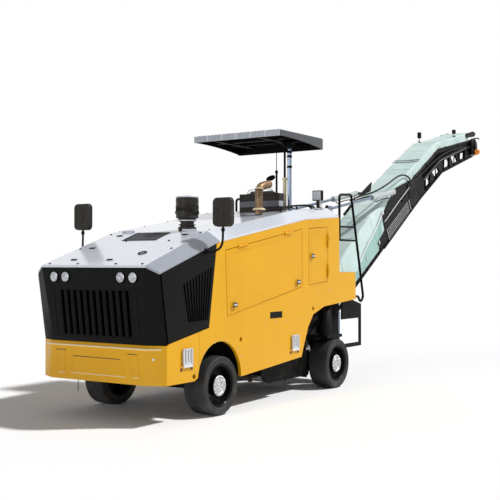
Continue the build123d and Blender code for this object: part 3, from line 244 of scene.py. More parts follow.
def paint(name, colour, gloss=0.32, dirt=0.12, peel=0.05, coat=0.35, flakes=0.0, shine=0.5):
    finish = Finish(name, Coat_Roughness=0.12, Coat_IOR=1.5, Specular_IOR_Level=shine)
    cloud = finish.noise(1.7, 5)
    patch = finish.noise(9.0, 6, 0.65)
    low = 1 - finish.between(finish.axis("Z"), 0.15, 1.1)
    dust = (dirt * (0.35 + low) * finish.between(patch, 0.35, 0.75)).limited()
    darker = tuple(c * 0.86 for c in colour[:3]) + (1.0,)
    base = finish.mix(finish.between(cloud, 0.3, 0.8) * 0.5, colour, darker)
    chips = finish.between(finish.noise(140, 2), 0.80, 0.84) * flakes
    worn = finish.mix(chips, finish.mix(dust, base, DUST), rgb(70, 66, 62))
    ripple = finish.noise(55, 2, 0.4)
    grain = finish.noise(700, 2)
    return finish.use(Base_Color=worn, Roughness=(gloss + dust * 0.35 + patch * 0.08 + chips * 0.2).limited(),
                      Coat_Weight=(coat * (1 - dust)).limited(),
                      Normal=finish.bump(ripple + grain * 0.15, peel, 0.004))


YELLOW = paint("yellow_gloss_paint", rgb(228, 168, 10), gloss=0.36, dirt=0.05, coat=0.1, shine=0.2)
PALE = paint("pale_grey_gloss_paint", rgb(214, 218, 228), gloss=0.22, dirt=0.08, peel=0.04, coat=0.6)
CHAMFER_GREY = paint("blue_grey_gloss_paint", rgb(150, 155, 166), gloss=0.24, dirt=0.08, peel=0.04, coat=0.4,
                     shine=0.4)
BLACK = paint("black_satin_paint", rgb(6, 6, 6), gloss=0.38, dirt=0.015, peel=0.08, coat=0.02, shine=0.08)
FRAME_BLACK = paint("frame_black_paint", rgb(8, 8, 9), gloss=0.5, dirt=0.03, peel=0.1, coat=0.0, flakes=0.3,
                    shine=0.08)
WHITE = paint("step_white_paint", rgb(226, 228, 232), gloss=0.42, coat=0.1, flakes=0.25)
CYLINDER = paint("cylinder_grey_paint", rgb(186, 192, 194), gloss=0.34, dirt=0.1, coat=0.2)
ORANGE = paint("guard_orange_paint", rgb(230, 136, 28), gloss=0.45, dirt=0.1, coat=0.0)
CANOPY_GREY = paint("canopy_dark_grey_paint", rgb(74, 77, 83), gloss=0.42, dirt=0.1, peel=0.08, coat=0.05,
                    shine=0.3)
CANOPY_LIGHT = paint("canopy_light_grey_paint", rgb(176, 180, 188), gloss=0.42, dirt=0.08, peel=0.08, coat=0.05,
                     shine=0.3)
print(len(bpy.data.materials), "paints")

# %% [markdown]
# ## Rubber, metal, glass and plastic
# These differ from paint in what carries the colour. Rubber is dusty and hardly shines, steel takes its colour
# from its reflections and shows the tool that cut it, and moulded plastic has a fine even grain.

# %% Rubber and belting
def rubber(name, colour, dusty, grain):
    finish = Finish(name, IOR=1.45, Specular_IOR_Level=0.3)
    cloud = finish.noise(6, 6, 0.6)
    speck = finish.noise(260, 3)
    low = 1 - finish.between(finish.axis("Z"), 0.0, 0.5)
    dust = (finish.between(cloud, 0.4, 0.8) * dusty * (0.4 + low)).limited()
    return finish.use(Base_Color=finish.mix(dust, colour, rgb(120, 114, 106)),
                      Roughness=(0.62 + dust * 0.25 + speck * 0.08).limited(),
                      Normal=finish.bump(speck + cloud * 0.5, grain, 0.002))


TYRE = rubber("tyre_rubber", rgb(44, 44, 45), 0.30, 0.35)
BELT = rubber("belt_rubber", rgb(36, 36, 38), 0.35, 0.25)
HOSE = rubber("hose_rubber", rgb(24, 24, 26), 0.08, 0.2)


# %% Metals
def metal(name, colour, rough, brushed=(1, 1, 1), stain=0.0, stain_colour=(0.2, 0.09, 0.04, 1), pits=0.08):
    finish = Finish(name)
    streak = finish.noise(90, 3, 0.6, brushed)
    cloud = finish.noise(7, 6, 0.7)
    rust = (finish.between(cloud + finish.noise(40, 4) * 0.35, 0.62, 0.86) * stain).limited()
    return finish.use(Base_Color=finish.mix(rust, colour, stain_colour),
                      Metallic=(1 - rust * 0.9).limited(),
                      Roughness=(rough + streak * 0.16 + rust * 0.4).limited(),
                      Normal=finish.bump(streak + rust * 2, pits, 0.001))


STEEL = metal("bright_steel", rgb(196, 198, 200), 0.26, (1, 1, 6))
CHROME = metal("rod_chrome", rgb(128, 142, 160), 0.16, (1, 1, 12), pits=0.02)
DRUM_STEEL = metal("ground_drum_steel", rgb(120, 112, 104), 0.45, (3, 1, 3), 0.7, rgb(96, 62, 40), 0.3)
RUSTY = metal("rusty_steel", rgb(110, 92, 80), 0.5, (1, 1, 1), 1.0, rgb(112, 58, 34), 0.4)
EXHAUST = metal("heat_brown_exhaust", rgb(146, 120, 92), 0.36, (1, 1, 4), 0.7, rgb(84, 60, 42), 0.3)
print("rubber and metals ready")


# %% Plastic, vinyl and glass
def plastic(name, colour, rough=0.48, grain=0.12, scale=900, shine=0.5):
    finish = Finish(name, Specular_IOR_Level=shine)
    fine = finish.noise(scale, 2)
    cloud = finish.noise(12, 4)
    return finish.use(Base_Color=finish.mix(cloud * 0.12, colour, DUST),
                      Roughness=(rough + fine * 0.1 + cloud * 0.06).limited(),
                      Normal=finish.bump(fine, grain, 0.0006))


CONSOLE_BLACK = plastic("console_black_plastic", rgb(12, 12, 13), shine=0.18)
MIRROR_SHELL = plastic("mirror_shell_plastic", rgb(9, 9, 10), 0.34, 0.04, shine=0.16)
LIGHT_PLASTIC = plastic("light_grey_plastic", rgb(196, 198, 205), 0.42)
VINYL = plastic("seat_vinyl", rgb(26, 26, 29), 0.44, 0.3, 320, 0.35)


def lamp_glass():
    finish = Finish("lamp_glass", Coat_Roughness=0.03)
    cells = finish.node("TexVoronoi", {}, {"Vector": finish.place(), "Scale": 62.0}, "Distance")
    return finish.use(Base_Color=finish.mix(finish.between(cells, 0.1, 0.6), rgb(236, 238, 240), rgb(140, 144, 150)),
                      Metallic=0.55, Roughness=(0.16 + cells * 0.2).limited(), Coat_Weight=1.0,
                      Normal=finish.bump(cells, 0.5, 0.004))


def mirror_glass():
    finish = Finish("mirror_glass", Metallic=1.0)
    smear = finish.noise(14, 5)
    return finish.use(Base_Color=rgb(206, 214, 222), Roughness=(0.02 + smear * 0.05).limited())


LAMP_GLASS = lamp_glass()
MIRROR_GLASS = mirror_glass()
print(len(bpy.data.materials), "finishes in all")

# %% [markdown]
# ## Light and floor
# A studio that shows a machine on white has a bright surround and a lamp high up. The surround fills the shadows,
# and the lamp gives the side its depth and lays the machine's shadow towards the viewer's left. A second lamp,
# weak and wide, lifts the front. The camera sees pure white behind the machine, and polished parts mirror it.

# %% World, lamps and floor
scene = bpy.context.scene
scene.view_settings.view_transform = "Standard"
FILL = 0.22
SUN_STRENGTH = 3.05
FRONT_STRENGTH = 0.85
FRONT_SPREAD = math.radians(30)
SUN_HEIGHT = math.radians(52)
SUN_SPREAD = math.radians(4)


def white_behind(tree, lit, output):
    """Mixes a lit shader with plain white, which only the camera, mirrors and glass see."""
    rays = tree.nodes.new("ShaderNodeLightPath")
    either = None
    for kind in ("Is Camera Ray", "Is Glossy Ray", "Is Transmission Ray"):
        if either is None:
            either = rays.outputs[kind]
            continue
        most = tree.nodes.new("ShaderNodeMath")
        most.operation = "MAXIMUM"
        tree.links.new(either, most.inputs[0])
        tree.links.new(rays.outputs[kind], most.inputs[1])
        either = most.outputs[0]
    white = tree.nodes.new("ShaderNodeBackground")
    choice = tree.nodes.new("ShaderNodeMixShader")
    white.inputs["Color"].default_value = (1, 1, 1, 1)
    tree.links.new(either, choice.inputs[0])
    tree.links.new(lit, choice.inputs[1])
    tree.links.new(white.outputs[0], choice.inputs[2])
    tree.links.new(choice.outputs[0], output)


world = bpy.data.worlds.new("studio")
world.use_nodes = True
scene.world = world
surround = world.node_tree.nodes["Background"]
surround.inputs["Color"].default_value = (0.96, 0.98, 1.0, 1)
surround.inputs["Strength"].default_value = FILL
white_behind(world.node_tree, surround.outputs[0], world.node_tree.nodes["World Output"].inputs["Surface"])


def distant_lamp(name, toward, strength, spread):
    """Parallel light that comes from the direction toward."""
    data = bpy.data.lights.new(name, "SUN")
    data.energy, data.angle = strength, spread
    lamp = bpy.data.objects.new(name, data)
    scene.collection.objects.link(lamp)
    lamp.rotation_mode = "QUATERNION"
    lamp.rotation_quaternion = toward.to_track_quat("Z", "Y")


distant_lamp("studio_sun", Vector((-math.sin(CAMERA_YAW) * math.cos(SUN_HEIGHT),
                                   math.cos(CAMERA_YAW) * math.cos(SUN_HEIGHT), math.sin(SUN_HEIGHT))),
             SUN_STRENGTH, SUN_SPREAD)
distant_lamp("front_fill", Vector((0.97, -0.10, 0.10)), FRONT_STRENGTH, FRONT_SPREAD)

FLOOR_SIZE = 120
floor_mesh = bpy.data.meshes.new("studio_floor")
half = FLOOR_SIZE / 2
floor_mesh.from_pydata([(-half, -half, 0), (half, -half, 0), (half, half, 0), (-half, half, 0)], [], [(0, 1, 2, 3)])
floor = bpy.data.objects.new("studio_floor", floor_mesh)
scene.collection.objects.link(floor)
floor_finish = Finish("studio_floor_white")
floor_mesh.materials.append(floor_finish.use(
    Base_Color=floor_finish.mix(floor_finish.noise(3, 3) * 0.02, (0.98, 0.98, 0.98, 1), (0.96, 0.96, 0.965, 1)),
    Roughness=0.9))
print("fill", FILL, "lamp", SUN_STRENGTH)

# %% [markdown]
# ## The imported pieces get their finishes
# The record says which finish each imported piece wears. One table turns those names into the materials above, so
# that no piece is left plain, even one that only shows from below.

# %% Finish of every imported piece
SLOT_FINISHES = {
    "yellow_paint": YELLOW, "pale_paint": PALE, "black_paint": BLACK, "frame_paint": FRAME_BLACK,
    "tyre_rubber": TYRE, "rim_paint": BLACK, "bare_steel": STEEL, "rod_chrome": CHROME,
    "drum_steel": DRUM_STEEL, "lamp_glass": LAMP_GLASS, "mirror_glass": MIRROR_GLASS, "belt_rubber": BELT,
    "cover_fabric": CYLINDER, "seat_vinyl": VINYL, "console_plastic": CONSOLE_BLACK,
    "light_plastic": LIGHT_PLASTIC, "exhaust_steel": EXHAUST, "step_paint": WHITE, "rusty_steel": RUSTY,
    "hose_rubber": HOSE, "orange_paint": ORANGE, "cylinder_paint": CYLINDER,
}
NODE_SLOTS = {part["node"]: part["material_slot"] for part in frame["record"]["subparts"]}
for node, piece in frame["nodes"].items():
    piece.data.materials.clear()
    piece.data.materials.append(SLOT_FINISHES[NODE_SLOTS[node]])
print(len(NODE_SLOTS), "packed pieces have a finish")

# %% [markdown]
# ## Tools for making pieces
# Most parts of a machine are bent sheet, bar or turned metal. One small class builds such shapes out of rings of
# points with a skin between them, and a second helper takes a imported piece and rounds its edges, because no real
# edge is perfectly sharp and it is the rounding that catches the light.

# %% A mesh that is put together from skins
AXIS_X, AXIS_Y, AXIS_Z = Vector((1, 0, 0)), Vector((0, 1, 0)), Vector((0, 0, 1))
SHARP_ANGLE = math.radians(32)


def across(direction):
    """Two directions square to a third and to each other."""
    rough = AXIS_Z if abs(direction.z) < 0.9 else AXIS_X
    side = direction.cross(rough).normalized()
    return side, side.cross(direction).normalized()


def turns(count, first=0.0):
    """So many angles evenly round a circle."""
    return [first + 2 * math.pi * k / count for k in range(count)]


def spoke(turn, side=AXIS_X, up=AXIS_Y):
    """The direction at an angle between two that are square to each other."""
    return side * math.cos(turn) + up * math.sin(turn)


class Form:
    """A mesh made of rings of points with skins between them; each skin has the number of its finish."""

    def __init__(self):
        self.mesh = bmesh.new()

    def skin(self, rings, finish=0, closed=True, capped=True, looped=False, edge=0.0, steps=2):
        rows = [[self.mesh.verts.new(Vector(point)) for point in ring] for ring in rings]
        count = len(rows[0])
        pairs = list(zip(rows, rows[1:])) + ([(rows[-1], rows[0])] if looped else [])
        made = []
        for row, after in pairs:
            for i in range(count if closed else count - 1):
                j = (i + 1) % count
                made.append(self.mesh.faces.new((row[i], row[j], after[j], after[i])))
        if capped and not looped:
            made.append(self.mesh.faces.new(rows[0][::-1]))
            made.append(self.mesh.faces.new(rows[-1]))
        for face in made:
            face.material_index = finish
        bmesh.ops.remove_doubles(self.mesh, verts=[vert for row in rows for vert in row], dist=1e-6)
        made = [face for face in made if face.is_valid]
        if capped or looped:
            bmesh.ops.recalc_face_normals(self.mesh, faces=made)
        if edge:
            edges = dict.fromkeys(line for face in made for line in face.edges
                                  if len(line.link_faces) == 2 and line.calc_face_angle(0) > SHARP_ANGLE)
            bmesh.ops.bevel(self.mesh, geom=list(edges), offset=edge, segments=steps, affect="EDGES",
                            profile=0.5, clamp_overlap=True, material=-1)
        return made

    def block(self, low, high, finish=0, edge=0.003, steps=2):
        """A box between two corners."""
        (x0, y0, z0), (x1, y1, z1) = low, high
        self.skin([[(x0, y0, z), (x1, y0, z), (x1, y1, z), (x0, y1, z)] for z in (z0, z1)], finish,
                  edge=edge, steps=steps)

    def side_block(self, side, xs, ys, zs, finish=0, edge=0.002, steps=2):
        """A block on one side of the machine; ys run outwards from the middle plane."""
        y0, y1 = sorted(side * y for y in ys)
        self.block((xs[0], y0, zs[0]), (xs[1], y1, zs[1]), finish, edge, steps)

    def plate(self, outline, y0, y1, finish=0, edge=0.002, steps=2):
        """A flat plate with this outline in x and z, between two places across the machine."""
        self.skin([[(x, y, z) for x, z in outline] for y in (y0, y1)], finish, edge=edge, steps=steps)

    def tube(self, points, radius, finish=0, sides=12, capped=True, looped=False):
        """A round bar along points; the radius may differ from point to point."""
        points = [Vector(point) for point in points]
        radii = radius if hasattr(radius, "__len__") else [radius] * len(points)
        side = None
        rings = []
        for i, (point, reach) in enumerate(zip(points, radii)):
            before = points[i - 1] if i or looped else point
            after = points[(i + 1) % len(points)] if i < len(points) - 1 or looped else point
            ahead = (after - before).normalized()
            if side is None:
                side, up = across(ahead)
            side = (side - ahead * side.dot(ahead)).normalized()
            up = side.cross(ahead)
            rings.append([point + spoke(turn, side, up) * reach for turn in turns(sides)])
        self.skin(rings, finish, capped=capped, looped=looped)

    def lathe(self, profile, centre, axis, finish=0, steps=48, looped=False, capped=True):
        """A turned shape: the profile gives how far along the axis and how far from it."""
        side, up = across(axis)
        centre = Vector(centre)
        rings = [[centre + axis * along + spoke(turn, side, up) * max(reach, 1e-9) for turn in turns(steps)]
                 for along, reach in profile]
        self.skin(rings, finish, looped=looped, capped=capped)

    def done(self, name, body, slot, *finishes, replaces=(), angle=SHARP_ANGLE):
        """Makes the piece: a mesh, shaded smooth but for its sharp edges, that rides on its body."""
        mesh = bpy.data.meshes.new(name)
        self.mesh.to_mesh(mesh)
        self.mesh.free()
        return piece_of(name, mesh, body, slot, *finishes, replaces=replaces, angle=angle)


def piece_of(name, mesh, body, slot, *finishes, replaces=(), angle=SHARP_ANGLE, crisp=True):
    numbers = [face.material_index for face in mesh.polygons]
    mesh.materials.clear()
    for finish in finishes:
        mesh.materials.append(finish)
    mesh.polygons.foreach_set("material_index", [min(number, len(finishes) - 1) for number in numbers])
    mesh.shade_smooth()
    if crisp:
        mesh.set_sharp_from_angle(angle=angle)
    piece = bpy.data.objects.new(name, mesh)
    scene.collection.objects.link(piece)
    if crisp:
        even = piece.modifiers.new("even shading", "WEIGHTED_NORMAL")
        even.keep_sharp = True
    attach(piece, body)
    if replaces:
        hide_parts(*replaces)
    return piece


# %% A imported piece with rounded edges
NODE_BODIES = {node: piece["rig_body"] for node, piece in frame["nodes"].items()}


def merged_copy(node):
    """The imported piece's mesh with its loose triangles joined and its flat faces whole."""
    form = bmesh.new()
    form.from_mesh(frame["nodes"][node].data)
    bmesh.ops.remove_doubles(form, verts=form.verts, dist=2e-5)
    bmesh.ops.dissolve_limit(form, angle_limit=math.radians(0.5), verts=form.verts, edges=form.edges,
                             use_dissolve_boundaries=False)
    return form


def soften(node, width=0.004, steps=2, shortest=5, least_angle=28, finishes=None, choose=None):
    """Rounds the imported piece's sharp edges; choose picks the finish of a face by its number."""
    form = merged_copy(node)
    sharp = [line for line in form.edges if len(line.link_faces) == 2 and line.calc_length() > shortest * width
             and line.calc_face_angle(0) > math.radians(least_angle)]
    bmesh.ops.bevel(form, geom=sharp, offset=width, segments=steps, affect="EDGES", profile=0.5,
                    clamp_overlap=False, material=-1)
    if choose:
        form.normal_update()
        for face in form.faces:
            face.material_index = choose(face.calc_center_median(), face.normal)
    mesh = bpy.data.meshes.new(node + "_rounded")
    form.to_mesh(mesh)
    form.free()
    finishes = finishes or [SLOT_FINISHES[NODE_SLOTS[node]]]
    return piece_of(node + "_rounded", mesh, NODE_BODIES[node], NODE_SLOTS[node], *finishes, replaces=[node])


print("form tools ready")

# %% [markdown]
# ## Small parts by the dozen
# Bolt heads, studs, dimples and picks repeat, so Geometry Nodes set them out: a list of places, each with the
# way that it faces, and one small part that is put on every place. The tree has named inputs for the part, its
# size and its finish. The result is baked to one plain mesh, because the machine's pieces have to stand alone.

# %% The tree that puts a part on places
def places_tree():
    tree = bpy.data.node_groups.new("small parts on places", "GeometryNodeTree")
    face = tree.interface
    face.new_socket("Places", in_out="INPUT", socket_type="NodeSocketGeometry")
    face.new_socket("Part", in_out="INPUT", socket_type="NodeSocketObject")
    face.new_socket("Size", in_out="INPUT", socket_type="NodeSocketFloat").default_value = 1.0
    face.new_socket("Spin", in_out="INPUT", socket_type="NodeSocketFloat").default_value = 0.0
    face.new_socket("Finish", in_out="INPUT", socket_type="NodeSocketMaterial")
    face.new_socket("Parts", in_out="OUTPUT", socket_type="NodeSocketGeometry")

    def node(kind, **settings):
        made = tree.nodes.new(kind)
        for key, value in settings.items():
            setattr(made, key, value)
        return made

    given, result = node("NodeGroupInput"), node("NodeGroupOutput")
    part = node("GeometryNodeObjectInfo")
    facing = node("GeometryNodeInputNamedAttribute", data_type="FLOAT_VECTOR")
    facing.inputs["Name"].default_value = "facing"
    aim = node("FunctionNodeAlignRotationToVector", axis="Z")
    chance = node("FunctionNodeRandomValue", data_type="FLOAT")
    chance.inputs["Seed"].default_value = 7
    roll = node("ShaderNodeCombineXYZ")
    turn = node("FunctionNodeEulerToRotation")
    both = node("FunctionNodeRotateRotation", rotation_space="LOCAL")
    spread = node("GeometryNodeInstanceOnPoints")
    real = node("GeometryNodeRealizeInstances")
    finish = node("GeometryNodeSetMaterial")
    for source, target in (
            (given.outputs["Part"], part.inputs["Object"]), (facing.outputs["Attribute"], aim.inputs["Vector"]),
            (given.outputs["Spin"], chance.inputs[3]), (chance.outputs[1], roll.inputs["Z"]),
            (roll.outputs[0], turn.inputs[0]), (aim.outputs[0], both.inputs[0]), (turn.outputs[0], both.inputs[1]),
            (given.outputs["Places"], spread.inputs["Points"]), (part.outputs["Geometry"], spread.inputs["Instance"]),
            (both.outputs[0], spread.inputs["Rotation"]), (given.outputs["Size"], spread.inputs["Scale"]),
            (spread.outputs[0], real.inputs[0]), (real.outputs[0], finish.inputs[0]),
            (given.outputs["Finish"], finish.inputs["Material"]), (finish.outputs[0], result.inputs[0])):
        tree.links.new(source, target)
    return tree


PLACES_TREE = places_tree()


def repeated(name, part, places, body, slot, finish, size=1.0, spin=0.0):
    """One baked mesh with the part on every (place, facing), each rolled by up to spin at random."""
    host_mesh = bpy.data.meshes.new(name)
    host_mesh.from_pydata([Vector(place) for place, facing in places], [], [])
    facing = host_mesh.attributes.new("facing", "FLOAT_VECTOR", "POINT")
    facing.data.foreach_set("vector", [c for place, way in places for c in Vector(way).normalized()])
    host = bpy.data.objects.new(name, host_mesh)
    scene.collection.objects.link(host)
    layer = host.modifiers.new("parts on places", "NODES")
    layer.node_group = PLACES_TREE
    ids = {item.name: item.identifier for item in PLACES_TREE.interface.items_tree if item.in_out == "INPUT"}
    for socket, value in (("Part", part), ("Size", size), ("Spin", spin), ("Finish", finish)):
        layer[ids[socket]] = value
    graph = bpy.context.evaluated_depsgraph_get()
    mesh = bpy.data.meshes.new_from_object(host.evaluated_get(graph), depsgraph=graph)
    host.modifiers.clear()
    bpy.data.objects.remove(host)
    mesh.name = name
    return piece_of(name, mesh, body, slot, finish)


TEMPLATES = []


def template(form, name):
    """A small part that only Geometry Nodes use; it leaves the scene at the end."""
    mesh = bpy.data.meshes.new(name)
    form.mesh.to_mesh(mesh)
    form.mesh.free()
    part = bpy.data.objects.new(name, mesh)
    TEMPLATES.append(part)
    return part


def stud(name, profile, steps):
    """A small turned part that stands on the origin and faces up."""
    form = Form()
    form.lathe(profile, (0, 0, 0), AXIS_Z, steps=steps)
    return template(form, name)


# %% Bolt heads, standing on the origin and facing up
def hexagon(radius, height, washer=0.0):
    bolt = Form()
    if washer:
        bolt.lathe([(-0.001, washer), (0.0015, washer), (0.002, washer - 0.0005)], (0, 0, 0), AXIS_Z, steps=16)
    bolt.lathe([(0.0, radius), (height * 0.8, radius), (height, radius * 0.82)], (0, 0, 0), AXIS_Z, steps=6)
    return bolt


BOLT = template(hexagon(0.008, 0.006, 0.0115), "bolt_head")
NUT = template(hexagon(0.011, 0.012), "wheel_nut")
print(len(TEMPLATES), "small parts to set out")

# %% [markdown]
# ## Wheels
# A small cold planer stands on solid rubber tyres. Nothing in them is blown up, so the side wall is a flat ring
# with a raised line near each edge, and the tread is plain and slightly crowned. The rim is a deep black dish with
# a bright hub in it, ringed with nuts. All of it is turned, so each part is one profile swept round the axle.

# %% Tyres and dished rims
# Each profile: how far outboard of the tyre's middle, and the radius
TYRE_PROFILE = [
    (-0.140, 0.2356), (-0.140, 0.2560), (-0.1375, 0.2600), (-0.1375, 0.2940), (-0.140, 0.2965), (-0.140, 0.3080),
    (-0.1365, 0.3170), (-0.1290, 0.3235), (-0.1150, 0.3268), (-0.0600, 0.3292), (0.0, 0.3300), (0.0600, 0.3292),
    (0.1150, 0.3268), (0.1290, 0.3235), (0.1365, 0.3170), (0.140, 0.3080), (0.140, 0.3010), (0.1385, 0.2990),
    (0.1385, 0.2965), (0.1395, 0.2950), (0.1375, 0.2925), (0.1375, 0.2625), (0.1392, 0.2600), (0.140, 0.2560),
    (0.1370, 0.2490), (0.1300, 0.2440), (0.1240, 0.2356),
]
RIM_PROFILE = [
    (0.1225, 0.2350), (0.1290, 0.2348), (0.1318, 0.2330), (0.1318, 0.2290), (0.1280, 0.2240), (0.1180, 0.2140),
    (0.0900, 0.2085), (0.0500, 0.2040), (0.0385, 0.1950), (0.0370, 0.1600), (0.0370, 0.1230), (0.0385, 0.1170),
    (0.0470, 0.1120), (0.0600, 0.1110), (0.1040, 0.1085), (0.1100, 0.1060),
]
RIM_BACK = [(0.0130, 0.0), (0.0130, 0.2090), (-0.1320, 0.2090), (-0.1320, 0.2350)]
HUB_PROFILE = [
    (0.1095, 0.1150), (0.1130, 0.1160), (0.1180, 0.1150), (0.1195, 0.1130), (0.1195, 0.0840), (0.1170, 0.0815),
    (0.1170, 0.0740), (0.1230, 0.0700), (0.1255, 0.0560), (0.1255, 0.0430), (0.1215, 0.0410), (0.1215, 0.0),
]
TYRE_STEPS = 72
NUT_RING = 0.099
NUT_COUNT = 12
COVER_RING = 0.050
COVER_COUNT = 6


def ring_places(centre, axis, radius, count, first=0.0):
    side, up = across(axis)
    return [(centre + spoke(turn, side, up) * radius, axis) for turn in turns(count, first)]


for axle in ("front", "rear"):
    for side_name, side in SIDES:
        tyre_node, rim_node = f"tyre_{axle}_{side_name}", f"rim_{axle}_{side_name}"
        low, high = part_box(tyre_node)
        middle = (low + high) / 2
        outward = AXIS_Y * side
        body = NODE_BODIES[tyre_node]
        tyre = Form()
        tyre.lathe(TYRE_PROFILE, middle, outward, steps=TYRE_STEPS, looped=True)
        tyre.done(f"{tyre_node}_rubber", body, "tyre_rubber", TYRE, replaces=[tyre_node])
        rim = Form()
        rim.lathe(RIM_PROFILE + [(0.1100, 0.0)] + RIM_BACK, middle, outward, steps=TYRE_STEPS, looped=True)
        rim.done(f"{rim_node}_dish", body, "rim_paint", BLACK, replaces=[rim_node])
        hub = Form()
        hub.lathe([(0.1095, 0.0)] + HUB_PROFILE, middle, outward, steps=48)
        valve = middle + outward * 0.062 + AXIS_X * 0.135 - AXIS_Z * 0.095
        hub.tube([valve - outward * 0.026, valve, valve + outward * 0.02 + AXIS_X * 0.008], [0.006, 0.005, 0.004])
        hub.done(f"hub_{axle}_{side_name}", body, "bare_steel", STEEL)
        nuts = ring_places(middle + outward * 0.1195, outward, NUT_RING, NUT_COUNT)
        nuts += ring_places(middle + outward * 0.1255, outward, COVER_RING, COVER_COUNT, 0.3)
        repeated(f"hub_nuts_{axle}_{side_name}", NUT, nuts, body, "bare_steel", STEEL, 0.85, 1.0)
print("4 wheels dressed;", NUT_COUNT + COVER_COUNT, "nuts each")

# %% [markdown]
# ## The painted body
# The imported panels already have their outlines, door gaps and slots. What they lack is what a press brake and a
# welder leave: rounded edges on every sheet. Each piece is copied, its edges are rounded, and the copy stands in
# its place. The frame below it is rounded less, because thick plate is flame cut and left square.

# %% Body, frame and conveyor pieces with rounded edges
EDGES = {
    "bumper": 0.005, "side_panels": 0.003, "front_grille": 0.003, "louvre_panels": 0.002,
    "engine_door_left": 0.0025, "engine_door_right": 0.0025, "tank_door_left": 0.0025, "tank_door_right": 0.0025,
    "chassis_frame": 0.002, "rear_legs": 0.003, "front_axle": 0.004, "drum_housing": 0.002, "drum_guards": 0.003,
    "transfer_chute": 0.003, "operator_platform": 0.002, "console": 0.004, "control_panel": 0.004,
    "handrails": 0.001, "conveyor_carrier": 0.003, "conveyor_frame": 0.0015, "conveyor_belt": 0.002,
    "conveyor_rollers": 0.002, "knuckle_left": 0.003, "knuckle_right": 0.003, "lift_cylinder_barrels": 0.002,
    "lift_cylinder_rods": 0.001,
}
for node, width in EDGES.items():
    soften(node, width)
print(len(EDGES), "packed pieces got rounded edges")

# %% [markdown]
# ## The black front and the louvred sides
# Behind the upright slots of the front stand folded fins that hide the cooler, and the side slots are pressed
# outwards into shallow hoods. Through the first of them an orange guard shows. The finish of every slot's edge
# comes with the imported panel, so only what stands in and around the slots is new.

# %% Fins behind the front's slots, and the frame lines of the black face
NOSE_X, FOOT_X = at(1.146), at(1.040)
FACE_LOW, FACE_HIGH = 0.842, 1.666
SLOT_LOW, SLOT_HIGH = 0.920, 1.400
SLOT_PITCH, SLOT_COUNT, SLOT_WIDTH = 0.092, 11, 0.044


def face_x(height):
    """The X of the leaning black front at this height."""
    return FOOT_X + (NOSE_X - FOOT_X) * (height - FACE_LOW) / (FACE_HIGH - FACE_LOW)


fins = Form()
for slot in range(SLOT_COUNT):
    y = (slot - (SLOT_COUNT - 1) / 2) * SLOT_PITCH
    for edge_y, lean in ((y - SLOT_WIDTH / 2 - 0.004, 0.020), (y + SLOT_WIDTH / 2 + 0.001, -0.004)):
        rings = []
        for height in (SLOT_LOW - 0.012, SLOT_HIGH + 0.012):
            back = face_x(height) - 0.041
            rings.append([(back, edge_y, height), (back - 0.040, edge_y + lean, height),
                          (back - 0.040, edge_y + lean + 0.003, height), (back, edge_y + 0.003, height)])
        fins.skin(rings)
for height in (SLOT_LOW - 0.016, SLOT_HIGH + 0.004):
    back = face_x(height) - 0.041
    fins.block((back - 0.045, -0.540, height), (back, 0.540, height + 0.012), edge=0.002)
fins.done("grille_fins", "chassis", "black_paint", BLACK)

trim = Form()
TRIM_SIDES, TRIM_ROWS, BEAD = (-0.586, 0.586), (0.905, 1.410), 0.0035
for y in TRIM_SIDES:
    trim.tube([(face_x(h) + 0.001, y, h) for h in TRIM_ROWS], BEAD, sides=8)
for h in TRIM_ROWS:
    trim.tube([(face_x(h) + 0.001, y, h) for y in TRIM_SIDES], BEAD, sides=8)
for slot in range(SLOT_COUNT + 1):
    y = (slot - SLOT_COUNT / 2) * SLOT_PITCH
    rings = []
    for h in (0.914, 1.402):
        back, front = face_x(h) - 0.004, face_x(h) + 0.0045
        rings.append([(back, y - 0.009, h), (front, y - 0.0035, h), (front, y + 0.0035, h), (back, y + 0.009, h)])
    trim.skin(rings, edge=0.001)
trim.done("grille_ribs", "chassis", "black_paint", BLACK)
FACE_WAY = (1, 0, -0.13)
face_bolts = [((face_x(h) + 0.0005, y, h), FACE_WAY) for y in (-0.632, 0.632) for h in (0.90, 1.15, 1.40, 1.60)]
face_bolts += [((face_x(1.60) + 0.0005, y, 1.60), FACE_WAY) for y in (-0.2, 0.0, 0.2)]
repeated("grille_bolts", BOLT, face_bolts, "chassis", "black_paint", BLACK, 0.8, 1.0)
print(SLOT_COUNT * 2, "fins behind the slots")

# %% Lamps: a bezel, a reflector bowl and a lens with facets
lamp_low, lamp_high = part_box("lamps")
LAMP_FACE_X = lamp_high.x
LAMP_HEIGHT = (lamp_low.z + lamp_high.z) / 2
LAMP_PLACES = (-0.560, -0.392, 0.392, 0.560)
bezels, lenses, led_places = Form(), Form(), []
for y in LAMP_PLACES:
    centre = Vector((LAMP_FACE_X, y, LAMP_HEIGHT))
    bezels.lathe([(-0.030, 0.0640), (0.0010, 0.0640), (0.0040, 0.0620), (0.0040, 0.0560), (0.0, 0.0540),
                  (-0.022, 0.0520), (-0.030, 0.0500)], centre, AXIS_X, looped=True)
    lenses.lathe([(-0.026, 0.0), (-0.024, 0.0300), (-0.018, 0.0480), (-0.0050, 0.0538), (0.0015, 0.0520),
                  (0.0045, 0.0380), (0.0055, 0.0200), (0.0058, 0.0)], centre, AXIS_X)
    led_places.append((centre + AXIS_X * 0.0050, AXIS_X))
    led_places += ring_places(centre + AXIS_X * 0.0042, AXIS_X, 0.0210, 6)
    led_places += ring_places(centre + AXIS_X * 0.0016, AXIS_X, 0.0400, 12, 0.26)
bezels.done("lamp_bezels", "chassis", "black_paint", BLACK)
lenses.done("lamp_lenses", "chassis", "lamp_glass", LAMP_GLASS, replaces=["lamps"])
FACET = stud("lens_facet", [(-0.0010, 0.0088), (0.0020, 0.0070), (0.0034, 0.0036), (0.0038, 0.0)], 6)
